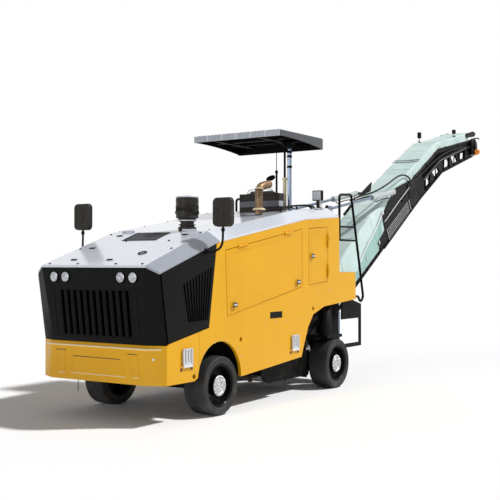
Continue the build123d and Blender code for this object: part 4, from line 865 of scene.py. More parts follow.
repeated("lamp_facets", FACET, led_places, "chassis", "lamp_glass", LAMP_GLASS)
print(len(led_places), "lens facets in", len(LAMP_PLACES), "lamps")

# %% Louvre hoods over the slanted side slots, and the guard behind them
LOUVRE_COUNT = 10
LOUVRE_HIGH = ((0.690, 1.4704), (0.200, 1.6446))
LOUVRE_LOW = ((0.600, 1.060), (0.280, 1.070))
LOUVRE_WIDTH = 0.026
for side_name, side in SIDES:
    hoods = Form()
    for slot in range(LOUVRE_COUNT):
        share = slot / (LOUVRE_COUNT - 1)
        high = [a + (b - a) * share for a, b in zip(*LOUVRE_HIGH)]
        low = [a + (b - a) * share for a, b in zip(*LOUVRE_LOW)]
        out, back = side * (SIDE_Y + 0.0055), side * (SIDE_Y - 0.030)
        rings = []
        for x, z in (low, high):
            face = side * (SIDE_Y + 0.0005)
            rings.append([(at(x) + 0.006, face, z), (at(x) - 0.001, out, z), (at(x) - LOUVRE_WIDTH, back, z + 0.006),
                          (at(x) - LOUVRE_WIDTH - 0.003, back, z + 0.006), (at(x) - 0.005, out - side * 0.003, z),
                          (at(x) + 0.004, face - side * 0.002, z)])
        hoods.skin(rings)
    hoods.done(f"louvre_hoods_{side_name}", "chassis", "black_paint", BLACK)
    guard = Form()
    guard.plate([(at(0.71), 1.05), (at(0.43), 1.05), (at(0.43), 1.50), (at(0.71), 1.44)],
                side * (SIDE_Y - 0.075), side * (SIDE_Y - 0.071))
    for x in (0.66, 0.58, 0.50):
        guard.tube([(at(x), side * (SIDE_Y - 0.066), 1.06), (at(x + 0.02), side * (SIDE_Y - 0.066), 1.43)], 0.006)
    guard.done(f"fan_guard_{side_name}", "chassis", "orange_paint", ORANGE)
print(2 * LOUVRE_COUNT, "louvre hoods")

# %% [markdown]
# ## Hood, deck and chamfer
# The top is one sheet folded along two lines. Its middle is pale and glossy, while the sloping flanks are a
# darker blue grey, so a face's finish follows from how much it leans. A mesh vent, latches, bolts and a ring
# break up the hood.

# %% Two greys on the folded top
def top_or_flank(centre, normal):
    """0 on the flat middle of the folded top, 1 on its sloping flanks and edges."""
    return 1 if abs(normal.y) > 0.35 and centre.x > at(0.02) else 0


for node, width in (("hood", 0.004), ("top_deck", 0.003)):
    soften(node, width, finishes=[PALE, CHAMFER_GREY], choose=top_or_flank)

# The flat middle's three stretches, each from one reach and height to the next
HOOD_LINE = ((1.146, 1.666), (0.034, 2.048))
DECK_LINE = ((0.034, 2.048), (-1.900, 2.374))
REAR_LINE = ((-1.900, 2.374), (-2.780, 2.436))


def top_line(reach):
    """The stretch of the top at this reach."""
    return next((line for line in (HOOD_LINE, DECK_LINE) if reach > line[1][0]), REAR_LINE)


def on_line(line, reach):
    (x0, z0), (x1, z1) = line
    return z0 + (z1 - z0) * (reach - x0) / (x1 - x0)


def top_z(reach):
    return on_line(top_line(reach), reach)


def square_to(line):
    """The upward direction square to a line of the top."""
    (x0, z0), (x1, z1) = line
    return Vector((z1 - z0, 0, -(x1 - x0))).normalized() * (1 if x1 < x0 else -1)


def on_top(reach, y, rise=0.0):
    """A place over the top, and the way that the top faces there."""
    up = square_to(top_line(reach))
    return Vector((at(reach), y, top_z(reach))) + up * rise, up


print("the top is", round(HOOD_LINE[0][1], 2), "to", round(REAR_LINE[1][1], 2), "m high")

# %% Mesh vent, latches and bolts of the hood
VENT_X, VENT_Y, VENT_RIM = (0.090, 0.320), (-0.265, 0.190), 0.02
VENT_PITCH = 0.0135
HOOD_UP = square_to(HOOD_LINE)


def hood_block(form, reaches, ys, rises, finish=0, edge=0.002):
    """A block lying on the sloping hood."""
    a, b = (on_top(reach, 0)[0] for reach in reaches)
    form.skin([[a + AXIS_Y * ys[0] + HOOD_UP * rise, b + AXIS_Y * ys[0] + HOOD_UP * rise,
                b + AXIS_Y * ys[1] + HOOD_UP * rise, a + AXIS_Y * ys[1] + HOOD_UP * rise] for rise in rises],
              finish, edge=edge)


(x0, x1), (y0, y1) = VENT_X, VENT_Y
vent = Form()
for reaches, ys in (((x0 - VENT_RIM, x0), (y0 - VENT_RIM, y1 + VENT_RIM)),
                    ((x1, x1 + VENT_RIM), (y0 - VENT_RIM, y1 + VENT_RIM)),
                    (VENT_X, (y0 - VENT_RIM, y0)), (VENT_X, (y1, y1 + VENT_RIM))):
    hood_block(vent, reaches, ys, (-0.002, 0.006))
# A black rubber sheet under the mesh paints the shade inside the vent.
hood_block(vent, VENT_X, VENT_Y, (-0.002, 0.0012), 1, 0)
vent.done("hood_vent_frame", "hood", "black_paint", BLACK, HOSE)
wire = Form()
wire.block((-0.0042, -0.0042, -0.001), (0.0042, 0.0042, 0.0022), edge=0.0012, steps=1)
MESH_DOT = template(wire, "vent_mesh_dot")
dots = []
for row in range(int((x1 - x0) / VENT_PITCH)):
    shift = VENT_PITCH / 2 if row % 2 else 0
    dots += [on_top(x0 + (row + 0.5) * VENT_PITCH, y0 + 0.004 + column * VENT_PITCH + shift, 0.001)
             for column in range(int((y1 - y0) / VENT_PITCH))]
repeated("hood_vent_mesh", MESH_DOT, dots, "hood", "black_paint", CANOPY_GREY)

furniture = Form()
ring_centre, ring_up = on_top(0.769, 0.384)
furniture.lathe([(-0.002, 0.052), (0.006, 0.052), (0.010, 0.046), (0.010, 0.040), (0.004, 0.036),
                 (-0.002, 0.034)], ring_centre, ring_up, looped=True, steps=32)
for reach, y in ((0.98, -0.42), (0.98, 0.10), (0.60, -0.50), (0.16, 0.48), (0.16, -0.48)):
    hood_block(furniture, (reach - 0.016, reach + 0.016), (y - 0.030, y + 0.030), (-0.002, 0.008), 0, 0.003)
    hood_block(furniture, (reach - 0.007, reach + 0.007), (y + 0.022, y + 0.056), (0.004, 0.012), 0, 0.003)
furniture.done("hood_latches", "hood", "black_paint", BLACK)

hood_bolts = [on_top(reach, y) for reach in (1.10, 0.62, 0.10) for y in (-0.66, 0.66)]
hood_bolts += [on_top(reach, y) for reach, y in ((1.10, -0.24), (1.10, 0.30), (0.36, -0.2), (0.36, 0.42))]
repeated("hood_bolts", BOLT, hood_bolts, "hood", "black_paint", BLACK, 1.3, 1.0)
deck_bolts = [on_top(reach, y) for reach in (-0.06, -0.52, -0.98, -1.44, -1.84, -2.2, -2.62)
              for y in (-0.665, 0.665)]
repeated("deck_bolts", BOLT, deck_bolts, "chassis", "black_paint", BLACK, 0.9, 1.0)
print("vent with", len(dots), "wires' crossings;", len(hood_bolts + deck_bolts), "bolts")

# %% [markdown]
# ## The conveyor's fabric cover
# A tarpaulin is stretched over hoops above the belt. It is tight on each hoop and hangs a little between them,
# its top carries fine creases across, and its walls hang in soft folds. A grid follows the boom's line and goes
# round its section, and every point is then moved by those rules. Cloth simulation would give folds anywhere,
# but here the hoops decide where they are, so the rules are written out.

# %% The boom's line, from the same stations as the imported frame
# Each station: reach, height of the underside, depth of the side frame, height of the cover's top
STATIONS = ((-3.105, 0.475, 0.200, 0.520), (-5.400, 1.868, 0.200, 0.690), (-6.910, 2.785, 0.415, 0.605),
            (-7.980, 3.360, 0.415, 0.575), (-9.630, 3.820, 0.300, 0.500))
FRAME_Y = 0.270
COVER_Y = 0.2557


def lifted(heights):
    """The underside's line moved square to itself by a height at each station."""
    moved = []
    for index, (reach, height, depth, top) in enumerate(STATIONS):
        legs = []
        for a, b in ((index - 1, index), (index, index + 1)):
            if a >= 0 and b < len(STATIONS):
                legs.append((Vector(STATIONS[b][:2]) - Vector(STATIONS[a][:2])).normalized())
        along = sum(legs, Vector((0, 0))).normalized()
        offset = heights[index] / along.dot(legs[0])
        moved.append(Vector((reach + along.y * offset, height - along.x * offset)))
    return moved


UNDERSIDE = lifted([0] * len(STATIONS))
FRAME_TOP = lifted([station[2] for station in STATIONS])
COVER_TOP = lifted([station[3] for station in STATIONS])


def line_at(line, place):
    """The point at a place along a line of the boom; the place's whole part is its stretch."""
    stretch = min(int(place), len(STATIONS) - 2)
    point = line[stretch].lerp(line[stretch + 1], place - stretch)
    return Vector((at(point.x), 0, point.y))


def boom_ways(place):
    """The cover's top and the underside at a place, the way up between them and the way along."""
    top, under = line_at(COVER_TOP, place), line_at(UNDERSIDE, place)
    return top, under, (top - under).normalized(), (line_at(UNDERSIDE, place + 0.01) - under).normalized()


print("boom runs over", len(STATIONS), "stations")

# %% Tarpaulin finish
def tarpaulin(name, colour, shade):
    """Coated fabric: a fine weave, cloudy fading, dust patches and painted shade in the creases."""
    finish = Finish(name, Sheen_Weight=0.25, Sheen_Roughness=0.5)
    weave = (finish.noise(900, 1, 0.3, (1, 0.15, 1)) + finish.noise(900, 1, 0.3, (0.15, 1, 0.15))) * 0.5
    cloud = finish.noise(2.2, 5, 0.6)
    crease = finish.noise(26, 4, 0.55, (1, 0.08, 1))
    dirt = finish.between(finish.noise(5, 6, 0.7), 0.5, 0.85)
    base = finish.mix(finish.between(cloud, 0.25, 0.75), colour, shade)
    base = finish.mix(dirt * 0.22, base, rgb(150, 152, 140))
    # The creases are painted darker with the shade colour: painted shade.
    return finish.use(Base_Color=finish.mix(finish.between(crease, 0.56, 0.72) * 0.25, base, shade),
                      Roughness=(0.62 + weave * 0.2).limited(),
                      Normal=finish.bump(weave * 0.25 + crease, 0.35, 0.004))


MINT = tarpaulin("mint_tarpaulin", rgb(214, 232, 228), rgb(188, 215, 209))
# The darker mint paints shade onto the cover's lower walls; the seams wear it too.
MINT_SHADE = tarpaulin("mint_painted_shade_tarpaulin", rgb(158, 196, 188), rgb(126, 168, 160))
WEBBING = plastic("white_webbing", rgb(228, 232, 234), 0.6, 0.3, 500)

# %% Cover over its hoops
COVER_START, COVER_END = 0.262, 3.93
HOOP_PLACES = (0.262, 0.62, 0.985, 1.22, 1.50, 1.80, 2.02, 2.42, 2.80, 3.05, 3.36, 3.66, 3.93)
WALL_FOOT = 0.082
CLOTH_STEPS, SECTION_STEPS = 300, 64
CORNER_ROUND = 0.045
SHEET_THICK = 0.0012
# The hanging wall stays outside the side frame up to this height over its foot
FRAME_PASS = 0.135


def hoop_slack(place):
    """0 on a hoop, 1 half way between two."""
    for a, b in zip(HOOP_PLACES, HOOP_PLACES[1:]):
        if a <= place <= b:
            return math.sin(math.pi * (place - a) / (b - a))
    return 0.0


def cover_section(place):
    """The section's outline at a place, from the left foot over the top to the right foot."""
    top, under, up, ahead = boom_ways(place)
    foot = line_at(FRAME_TOP, place)
    low_hang = 1 - min(max((place - 0.96) / 0.06, 0), 1)
    foot = foot + up * 0.004
    hang = under + up * WALL_FOOT
    foot = foot.lerp(hang, low_hang)
    slack = hoop_slack(place)
    wall = COVER_Y + (FRAME_Y + 0.0055 - COVER_Y) * low_hang
    tall = (top - foot).length
    points = []
    half = SECTION_STEPS // 2
    girth = tall + COVER_Y
    for i in range(SECTION_STEPS + 1):
        side = 1 if i <= half else -1
        run = girth * (i / half if side > 0 else (SECTION_STEPS - i) / half)
        rise = min(run, tall)
        across_y = COVER_Y if run <= tall else COVER_Y - (run - tall)
        from_corner = run - tall
        if abs(from_corner) < CORNER_ROUND:
            turn = (from_corner / CORNER_ROUND + 1) * math.pi / 4
            rise = tall - CORNER_ROUND * (1 - math.sin(turn))
            across_y = COVER_Y - CORNER_ROUND * (1 - math.cos(turn))
        height_share = rise / tall
        y = across_y
        if run <= tall:
            outer = wall + (COVER_Y - wall) * min(max((rise - FRAME_PASS) / 0.12, 0) if low_hang else 1, 1)
            y = outer if height_share < 0.9 else across_y
            bulge = slack * 0.010 * math.sin(math.pi * min(height_share, 1))
            fold = noise.noise(Vector((place * 9, side * 3.1, height_share * 1.3))) * 0.010 * (1 - height_share)
            ripple = noise.noise(Vector((place * 42, side * 7.7, height_share * 5))) * 0.0035
            y -= bulge * (height_share > 0.25) - max(fold + ripple, -0.004)
            y = max(min(y, wall + 0.012), across_y - 0.03) if height_share < 0.9 else y
        else:
            middle = 1 - (across_y / COVER_Y) ** 2
            drop = slack * 0.016 * middle
            crease = noise.noise(Vector((place * 30, 0.4 + across_y * 1.1, 1.7))) * 0.0055
            fine = noise.noise(Vector((place * 85, 3.3 + across_y * 2.0, 5.1))) * 0.0022
            rise = rise - drop + (crease + fine) * min(middle * 3, 1)
        points.append(foot + up * rise + AXIS_Y * side * y)
    return points


# The strap on each side, from the body to the gusset; the wall below it gets the darker mint as painted shade
STRAP_LINE = ((-4.400, 1.470), (-4.700, 1.778), (-4.912, 2.001), (-5.203, 2.248), (-5.428, 2.500))


def strap_height(x):
    for (reach0, z0), (reach1, z1) in zip(STRAP_LINE, STRAP_LINE[1:]):
        if x >= at(reach1):
            return z0 + (z1 - z0) * (at(reach0) - x) / (reach0 - reach1)
    return STRAP_LINE[-1][1]


sections = [cover_section(COVER_START + (COVER_END - COVER_START) * i / CLOTH_STEPS)
            for i in range(CLOTH_STEPS + 1)]
cloth = Form()
faces = cloth.skin(sections, closed=False, capped=False)
cloth.mesh.normal_update()
wall_top = COVER_Y - 0.02
# Wall faces below the strap take the darker mint: painted shade.
for face in faces:
    middle = face.calc_center_median()
    if abs(middle.y) > wall_top and middle.x > at(STRAP_LINE[-1][0]) and middle.z < strap_height(middle.x):
        face.material_index = 1
centre_face = min(faces, key=lambda face: abs(face.calc_center_median().y))
if centre_face.normal.z < 0:
    bmesh.ops.reverse_faces(cloth.mesh, faces=faces)
cloth_area = sum(face.calc_area() for face in faces)
cover = cloth.done("conveyor_tarpaulin", "conveyor", "cover_fabric", MINT, MINT_SHADE,
                   replaces=["conveyor_cover"], angle=math.radians(60))
cover.modifiers.clear()
wall = cover.modifiers.new("cloth thickness", "SOLIDIFY")
wall.thickness = SHEET_THICK
wall.offset = 1
print("cover's area", round(cloth_area, 3), "square metres")

# %% What holds the cover: straps along its edges, seams, ties and hoops
def ribbon(form, points, ways, width, thick, finish=0):
    """A flat strap along points; ways gives the direction across it at each point."""
    rings = []
    for i, (point, way) in enumerate(zip(points, ways)):
        ahead = (points[min(i + 1, len(points) - 1)] - points[max(i - 1, 0)]).normalized()
        out = ahead.cross(way).normalized() * thick / 2
        side = way.normalized() * width / 2
        rings.append([point - side - out, point + side - out, point + side + out, point - side + out])
    form.skin(rings, finish)


strap = Form()
for side in (1, -1):
    points = [Vector((x, side * (COVER_Y + 0.012), strap_height(x)))
              for x in [at(-4.640) + (at(-5.428) - at(-4.640)) * i / 24 for i in range(25)]]
    ways = [(points[min(i + 1, 24)] - points[max(i - 1, 0)]).cross(AXIS_Y) for i in range(25)]
    ribbon(strap, points, ways, 0.030, 0.005)
    for reach, height in ((-4.640, 1.716), (-5.428, 2.500)):
        end = Vector((at(reach), side * (COVER_Y + 0.014), height))
        strap.block(end - Vector((0.030, 0.008, 0.024)), end + Vector((0.030, 0.008, 0.024)), 0, 0.006)
    for place in (0.30, 0.56, 0.80, 0.99):
        top, under, up, ahead = boom_ways(place)
        foot = under + up * 0.16 + AXIS_Y * side * (FRAME_Y + 0.013)
        head = under + up * 0.215 + AXIS_Y * side * (FRAME_Y + 0.0155)
        ribbon(strap, [foot, head], [ahead, ahead], 0.030, 0.005)
for place in (2.30, 2.36):
    top, under, up, ahead = boom_ways(place)
    points = []
    for i in range(25):
        y = COVER_Y * (1 - 2 * i / 24)
        sag = hoop_slack(place) * 0.016 * (1 - (y / COVER_Y) ** 2)
        points.append(top + up * (0.007 - sag) + AXIS_Y * y)
    ribbon(strap, points, [ahead] * 25, 0.016, 0.004, 1)
strap.done("cover_straps", "conveyor", "light_plastic", WEBBING, CANOPY_GREY)

seams = Form()
for place in (0.52, 0.75, 0.97, 1.50, 2.02, 3.05):
    points = cover_section(place)
    lifted_points = []
    for i, point in enumerate(points):
        before, after = points[max(i - 1, 0)], points[min(i + 1, len(points) - 1)]
        out = (after - before).cross(line_at(UNDERSIDE, place + 0.01) - line_at(UNDERSIDE, place)).normalized()
        if out.dot(AXIS_Z if abs(point.y) < COVER_Y - 0.05 else AXIS_Y * point.y) < 0:
            out = -out
        lifted_points.append(point + out * 0.0025)
    seams.tube(lifted_points, 0.0022, sides=6)
seams.done("cover_seams", "conveyor", "cover_fabric", MINT_SHADE, angle=math.radians(60))

hoops = Form()
for place in HOOP_PLACES[1:-1]:
    section = cover_section(place)
    inner = []
    for point in section[6:-6]:
        inward = 0.014
        y = max(min(point.y, COVER_Y - inward), -COVER_Y + inward)
        drop = inward if abs(point.y) < COVER_Y - 0.03 else 0
        inner.append(Vector((point.x, y, point.z - drop)))
    hoops.tube(inner, 0.008, sides=8)
hoops.done("cover_hoops", "conveyor", "bare_steel", STEEL, angle=math.radians(60))
print(len(HOOP_PLACES), "hoops under the cover")

# %% [markdown]
# ## The boom's side frames
# The lower boom has a slotted panel with bright edges, the bend wears a folded rubber skirt, and the upper boom is
# a lattice under a corrugated band with a heavy rail along its top. Ribs and rails follow the boom's line, so each
# one is placed by its share of a stretch and its height over the underside.

# %% Rails, ribs and skirts along the boom
def side_place(place, lift, y):
    """A point at a place along the boom, so far over the underside and from the middle plane."""
    return line_at(lifted([lift] * len(STATIONS)), place) + AXIS_Y * y


def boom_strip(form, start, end, lift, y, width, thick, finish=0, steps=6, end_lift=None):
    """A flat strip standing on the side frame and following the boom."""
    points, ways = [], []
    for i in range(steps + 1):
        share = i / steps
        here = lift if end_lift is None else lift + (end_lift - lift) * share
        place = start + (end - start) * share
        points.append(side_place(place, here, y))
        ways.append(side_place(place, here + 0.05, y) - side_place(place, here, y))
    ribbon(form, points, ways, width, thick, finish)


BEND_SKIRT = (2.02, 2.27)
rails = Form()
for side in (1, -1):
    face = side * FRAME_Y
    out = face + side * 0.010
    top_rail = [line_at(FRAME_TOP, place) + AXIS_Y * (face - side * 0.006) for place in
                (1.62, 1.8, 2.0, 2.5, 3.0, 3.35, 3.7, 3.97)]
    rails.tube([point + AXIS_Z * 0.018 for point in top_rail], 0.030, 0, sides=14)
    for place in (1.70, 2.05, 2.45, 2.85, 3.2, 3.55, 3.9):
        here = line_at(FRAME_TOP, place) + AXIS_Y * (face - side * 0.006) + AXIS_Z * 0.018
        ahead = (line_at(FRAME_TOP, place + 0.01) - line_at(FRAME_TOP, place - 0.01)).normalized()
        rails.lathe([(-0.014, 0.031), (-0.014, 0.036), (0.014, 0.036), (0.014, 0.031)], here, ahead, steps=16)
    boom_strip(rails, 2.30, 3.93, 0.232, out, 0.022, 0.020, 0, 16, 0.218)
    boom_strip(rails, 1.05, 3.97, 0.014, out - side * 0.002, 0.030, 0.016, 0, 24)
    for a, b, lean in ((2.28, 2.50, 0.08), (2.50, 2.72, -0.08), (2.72, 2.95, 0.06), (3.06, 3.24, 0.05),
                       (3.24, 3.37, -0.05), (3.37, 3.52, 0.05), (3.58, 3.72, -0.04), (3.72, 3.86, 0.05)):
        rails.tube([side_place(a, 0.035, out - side * 0.004), side_place(a + lean, 0.222, out - side * 0.004)],
                   0.011, 0, sides=8)
    boom_strip(rails, 0.02, 1.0, 0.052, face + side * 0.004, 0.026, 0.010, 0, 10)
    boom_strip(rails, 0.02, 1.0, 0.020, face + side * 0.005, 0.014, 0.012, 0, 10)
rails.done("boom_rails", "conveyor", "frame_paint", FRAME_BLACK, angle=math.radians(40))

bright = Form()
for side in (1, -1):
    face = side * (FRAME_Y + 0.003)
    rail = [Vector((at(-5.480), face + side * 0.010, 2.360)), Vector((at(-6.02), face + side * 0.010, 2.712)),
            Vector((at(-6.571), face + side * 0.010, 3.050))]
    bright.tube(rail, 0.010, 0, sides=8)
    for lift in (0.028, 0.064, 0.100, 0.136, 0.172, 0.205):
        boom_strip(bright, 1.22, 1.745, lift, face, 0.007, 0.008, 0, 6)
    boom_strip(bright, 2.27, 3.93, 0.247, face + side * 0.012, 0.006, 0.006, 0, 16, 0.233)
    for place in (1.195, 1.775):
        bright.tube([side_place(place, 0.02, face + side * 0.004), side_place(place, 0.225, face + side * 0.004)],
                    0.007, 0, sides=8)
    for place in (1.66, 2.05, 2.45, 2.85, 3.2, 3.55):
        here, there = line_at(FRAME_TOP, place), line_at(FRAME_TOP, place + 0.34)
        lift_up = AXIS_Z * 0.047 + AXIS_Y * (side * FRAME_Y)
        bright.tube([here + lift_up, there + lift_up], 0.004, 0, sides=6)
bright.done("boom_bright_edges", "conveyor", "bare_steel", STEEL, angle=math.radians(40))

corrugated = Form()
CORRUGATIONS = 44
for side in (1, -1):
    face = side * FRAME_Y
    for i in range(CORRUGATIONS):
        place = BEND_SKIRT[1] + 0.02 + (3.90 - BEND_SKIRT[1]) * i / CORRUGATIONS
        depth = (line_at(FRAME_TOP, place) - line_at(UNDERSIDE, place)).length
        ridge = [side_place(place, h, face + side * 0.003) for h in (0.262, 0.275, depth - 0.045, depth - 0.030)]
        corrugated.tube(ridge, [0.002, 0.0085, 0.0085, 0.002], 0, sides=8)
corrugated.done("boom_corrugation", "conveyor", "frame_paint", FRAME_BLACK, angle=math.radians(60))

skirt = Form()
SKIRT_FOLDS = 9
for side in (1, -1):
    face = side * FRAME_Y
    rings = []
    for i in range(SKIRT_FOLDS * 8 + 1):
        share = i / (SKIRT_FOLDS * 8)
        place = 1.845 + (2.27 - 1.845) * share
        depth = (line_at(FRAME_TOP, place) - line_at(UNDERSIDE, place)).length
        ring = []
        for k in range(15):
            h = 0.004 + (depth - 0.012) * k / 14
            bend = 0.10 * math.sin(math.pi * k / 14)
            wave = 0.5 - 0.5 * math.cos(2 * math.pi * SKIRT_FOLDS * share)
            deep = 0.004 + 0.020 * wave * (0.55 + 0.45 * noise.noise(Vector((share * 7, k * 0.21, side))))
            ring.append(side_place(place - bend * 0.55, h, face + side * deep))
        rings.append(ring)
    made = skirt.skin(rings, closed=False, capped=False)
    middle = made[len(made) // 2]
    middle.normal_update()
    if middle.normal.y * side < 0:
        bmesh.ops.reverse_faces(skirt.mesh, faces=made)
bend_skirt = skirt.done("bend_skirt", "conveyor", "hose_rubber", HOSE, BLACK, angle=math.radians(60))
thicken = bend_skirt.modifiers.new("rubber thickness", "SOLIDIFY")
thicken.thickness = 0.004
thicken.offset = -1
print("boom dressed with", 2 * CORRUGATIONS, "ridges")

# %% The discharge head: belt wheels, drive motor, orange guard and flaps
head = Form()
HEAD_X, HEAD_Z = at(-9.560), 4.010
for side in (1, -1):
    centre = Vector((HEAD_X, side * (FRAME_Y + 0.005), HEAD_Z))
    head.lathe([(0.0, 0.150), (0.012, 0.165), (0.050, 0.165), (0.062, 0.150), (0.062, 0.060), (0.095, 0.055),
                (0.095, 0.0)], centre, AXIS_Y * side, steps=40)
    base = centre + AXIS_Y * side * 0.060
    for turn in turns(8):
        out = spoke(turn, AXIS_X, AXIS_Z)
        head.tube([base + out * 0.055, base + out * 0.150], 0.009, 0, sides=6)
    head.plate([(at(-9.30), 4.16), (at(-9.72), 4.23), (at(-9.80), 4.30), (at(-9.66), 4.33), (at(-9.26), 4.24)],
               side * (FRAME_Y - 0.012), side * (FRAME_Y + 0.006), 0)
    head.plate([(at(-9.52), 3.80), (at(-9.70), 3.84), (at(-9.78), 3.98), (at(-9.70), 4.02), (at(-9.50), 3.92)],
               side * (FRAME_Y - 0.006), side * (FRAME_Y + 0.012), 0)
head.tube([(at(-9.74), -FRAME_Y, 4.285), (at(-9.74), FRAME_Y, 4.285)], 0.018, 0)
head.tube([(at(-9.72), FRAME_Y, 4.19), (at(-9.90), FRAME_Y + 0.01, 4.22), (at(-9.965), FRAME_Y + 0.01, 4.205)],
          0.014)
head.done("discharge_head", "conveyor", "black_paint", BLACK)

motor = Form()
motor.lathe([(-0.02, 0.060), (0.03, 0.066), (0.07, 0.066), (0.08, 0.052), (0.11, 0.050), (0.13, 0.038),
             (0.13, 0.0)], (at(-9.62), FRAME_Y + 0.012, 3.905), AXIS_Y, steps=28)
motor.lathe([(-0.02, 0.060), (0.03, 0.060), (0.036, 0.050), (0.036, 0.0)], (at(-9.62), -FRAME_Y - 0.012, 3.905),
            -AXIS_Y, steps=28)
motor.done("belt_motor", "conveyor", "orange_paint", ORANGE)

fittings = Form()
fittings.tube([(at(-9.46), FRAME_Y + 0.02, 3.83), (at(-9.75), FRAME_Y + 0.03, 3.87), (at(-9.86), FRAME_Y + 0.03, 3.93),
               (at(-9.78), FRAME_Y + 0.03, 4.0)], 0.010, 0, sides=8)
for place, side, tall in ((3.19, -1, 0.190), (3.56, 1, 0.130)):
    top, under, up, ahead = boom_ways(place)
    base = top + up * 0.002 + AXIS_Y * side * (COVER_Y - 0.035)
    fittings.block(base - Vector((0.040, 0.020, 0.0)), base + Vector((0.040, 0.020, 0.012)), 1, 0.002)
    for lean in (-0.030, 0.030):
        fittings.tube([base + AXIS_X * lean, base + AXIS_Z * tall * 0.6], 0.009, 0, sides=8)
    fittings.block(base + Vector((-0.034, -0.030, tall * 0.4)), base + Vector((0.034, 0.030, tall)), 1, 0.008)
fittings.done("boom_fittings", "conveyor", "bare_steel", STEEL, BLACK)
print("discharge head at", round(HEAD_X, 3))

# %% Lift cylinders' collars and pipes, and the boom's hoses
RAM_Y = 0.345
PIN_FOOT, PIN_HEAD = Vector((at(-5.700), 0, 2.860)), Vector((at(-3.500), 0, 2.475))
ram_way = (PIN_HEAD - PIN_FOOT).normalized()
collars, seals = Form(), Form()
for side in (1, -1):
    foot = PIN_FOOT + AXIS_Y * side * RAM_Y
    for start, end, radius in ((0.028, 0.060, 0.0445), (0.790, 0.850, 0.0450)):
        collars.lathe([(start, 0.0420), (start, radius), (start + 0.004, radius + 0.002), (end - 0.004, radius + 0.002),
                       (end, radius), (end, 0.0420)], foot, ram_way, looped=False, steps=28, capped=False)
    up = AXIS_Y.cross(ram_way).normalized()
    for along in (0.085, 0.745):
        spot = foot + ram_way * along + up * 0.040
        collars.lathe([(0, 0.013), (0.016, 0.013), (0.018, 0.009), (0.030, 0.009)], spot, up, steps=12)
    seals.tube([foot + ram_way * 0.085 + up * 0.070, foot + ram_way * 0.16 + up * 0.082,
                foot + ram_way * 0.45 + up * 0.066, foot + ram_way * 0.70 + up * 0.082,
                foot + ram_way * 0.745 + up * 0.066], 0.009, 0, sides=8)
collars.done("ram_collars", "lift_barrels", "cylinder_paint", CYLINDER)
seals.done("ram_pipes", "lift_barrels", "hose_rubber", HOSE, angle=math.radians(60))


def bent(corners, steps=8):
    """Points on a smooth bend through corners; each run's middle joins one bend to the next."""
    corners = [Vector(corner) for corner in corners]
    points = [corners[0]]
    for i in range(1, len(corners) - 1):
        start = (corners[i - 1] + corners[i]) / 2 if i > 1 else corners[0]
        end = (corners[i] + corners[i + 1]) / 2 if i < len(corners) - 2 else corners[-1]
        for k in range(1, steps + 1):
            t = k / steps
            points.append(start * (1 - t) ** 2 + corners[i] * 2 * t * (1 - t) + end * t ** 2)
    return points


boom_pipes = Form()
for side in (1, -1):
    face, near = side * (FRAME_Y + 0.020), FRAME_Y + 0.010
    if side > 0:
        boom_pipes.tube(bent([(at(-4.260), near, 2.640), (at(-4.619), near, 2.736), (at(-5.030), near, 2.800),
                              (at(-5.547), near, 2.960), (at(-6.001), near, 3.150), (at(-6.284), near, 3.196),
                              (at(-6.585), near, 3.130), (at(-6.426), near, 3.000)]), 0.014, 0, 10)
        boom_pipes.tube(bent([(at(-4.300), near - 0.03, 2.600), (at(-4.640), near - 0.03, 2.700),
                              (at(-5.060), near - 0.03, 2.760)]), 0.013, 0, 10)
        boom_pipes.plate([(at(-4.560), 2.700), (at(-5.082), 2.980), (at(-5.030), 2.830)], 0.225, 0.250, 1, 0.004)
        boom_pipes.tube([(at(-4.100), 0.262, 2.420), (at(-4.455), 0.262, 2.650)], 0.022, 1, 12)
    boom_pipes.tube(bent([(at(-6.50), face, 3.04), (at(-7.0), face, 3.26), (at(-7.7), face, 3.60),
                          (at(-8.3), face, 3.80), (at(-9.2), face, 3.98), (at(-9.5), face, 3.97)]), 0.011, 0, 10)
boom_pipes.done("boom_pipes", "conveyor", "hose_rubber", HOSE, BLACK, angle=math.radians(60))
print("pipes on the rams and the boom")

# %% [markdown]
# ## Canopy
# The roof is a shallow tray of several overlapping sheets, so its front flange shows a row of segments with bright
# seams, and its skin has low ribs from front to back. The imported tray stays under it as the shape; segments, ribs
# and the lining are laid on it.

# %% Roof segments, seams and lining
# Cream paint for the canopy post's tube; the same cream paints highlights on the bumper's ledge, its recesses' lower
# edges and the exhaust's bend.
CREAM_AND_HIGHLIGHT = paint("cream_paint_and_highlight", rgb(240, 226, 186), gloss=0.35, dirt=0.06, coat=0.1, shine=0.3)
ROOF_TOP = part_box("canopy")[1].z
ROOF_FRONT, ROOF_REAR, ROOF_HALF = at(-1.570), at(-2.675), 0.680
ROOF_EDGE, ROOF_WALL, ROOF_SHEET = 0.003, 0.008, 0.012
SEGMENTS = 6
SEGMENT_WIDTH = 2 * ROOF_HALF / SEGMENTS
POST_X, POST_FOOT = at(-2.300), 2.05


def roof_finish(centre, normal):
    """Dark outside, black inside and below."""
    inside = (centre.z < ROOF_TOP - ROOF_SHEET and abs(centre.y) < ROOF_HALF - ROOF_WALL
              and ROOF_REAR + ROOF_WALL < centre.x < ROOF_FRONT - ROOF_WALL)
    return 1 if inside or normal.z < -0.5 else 0


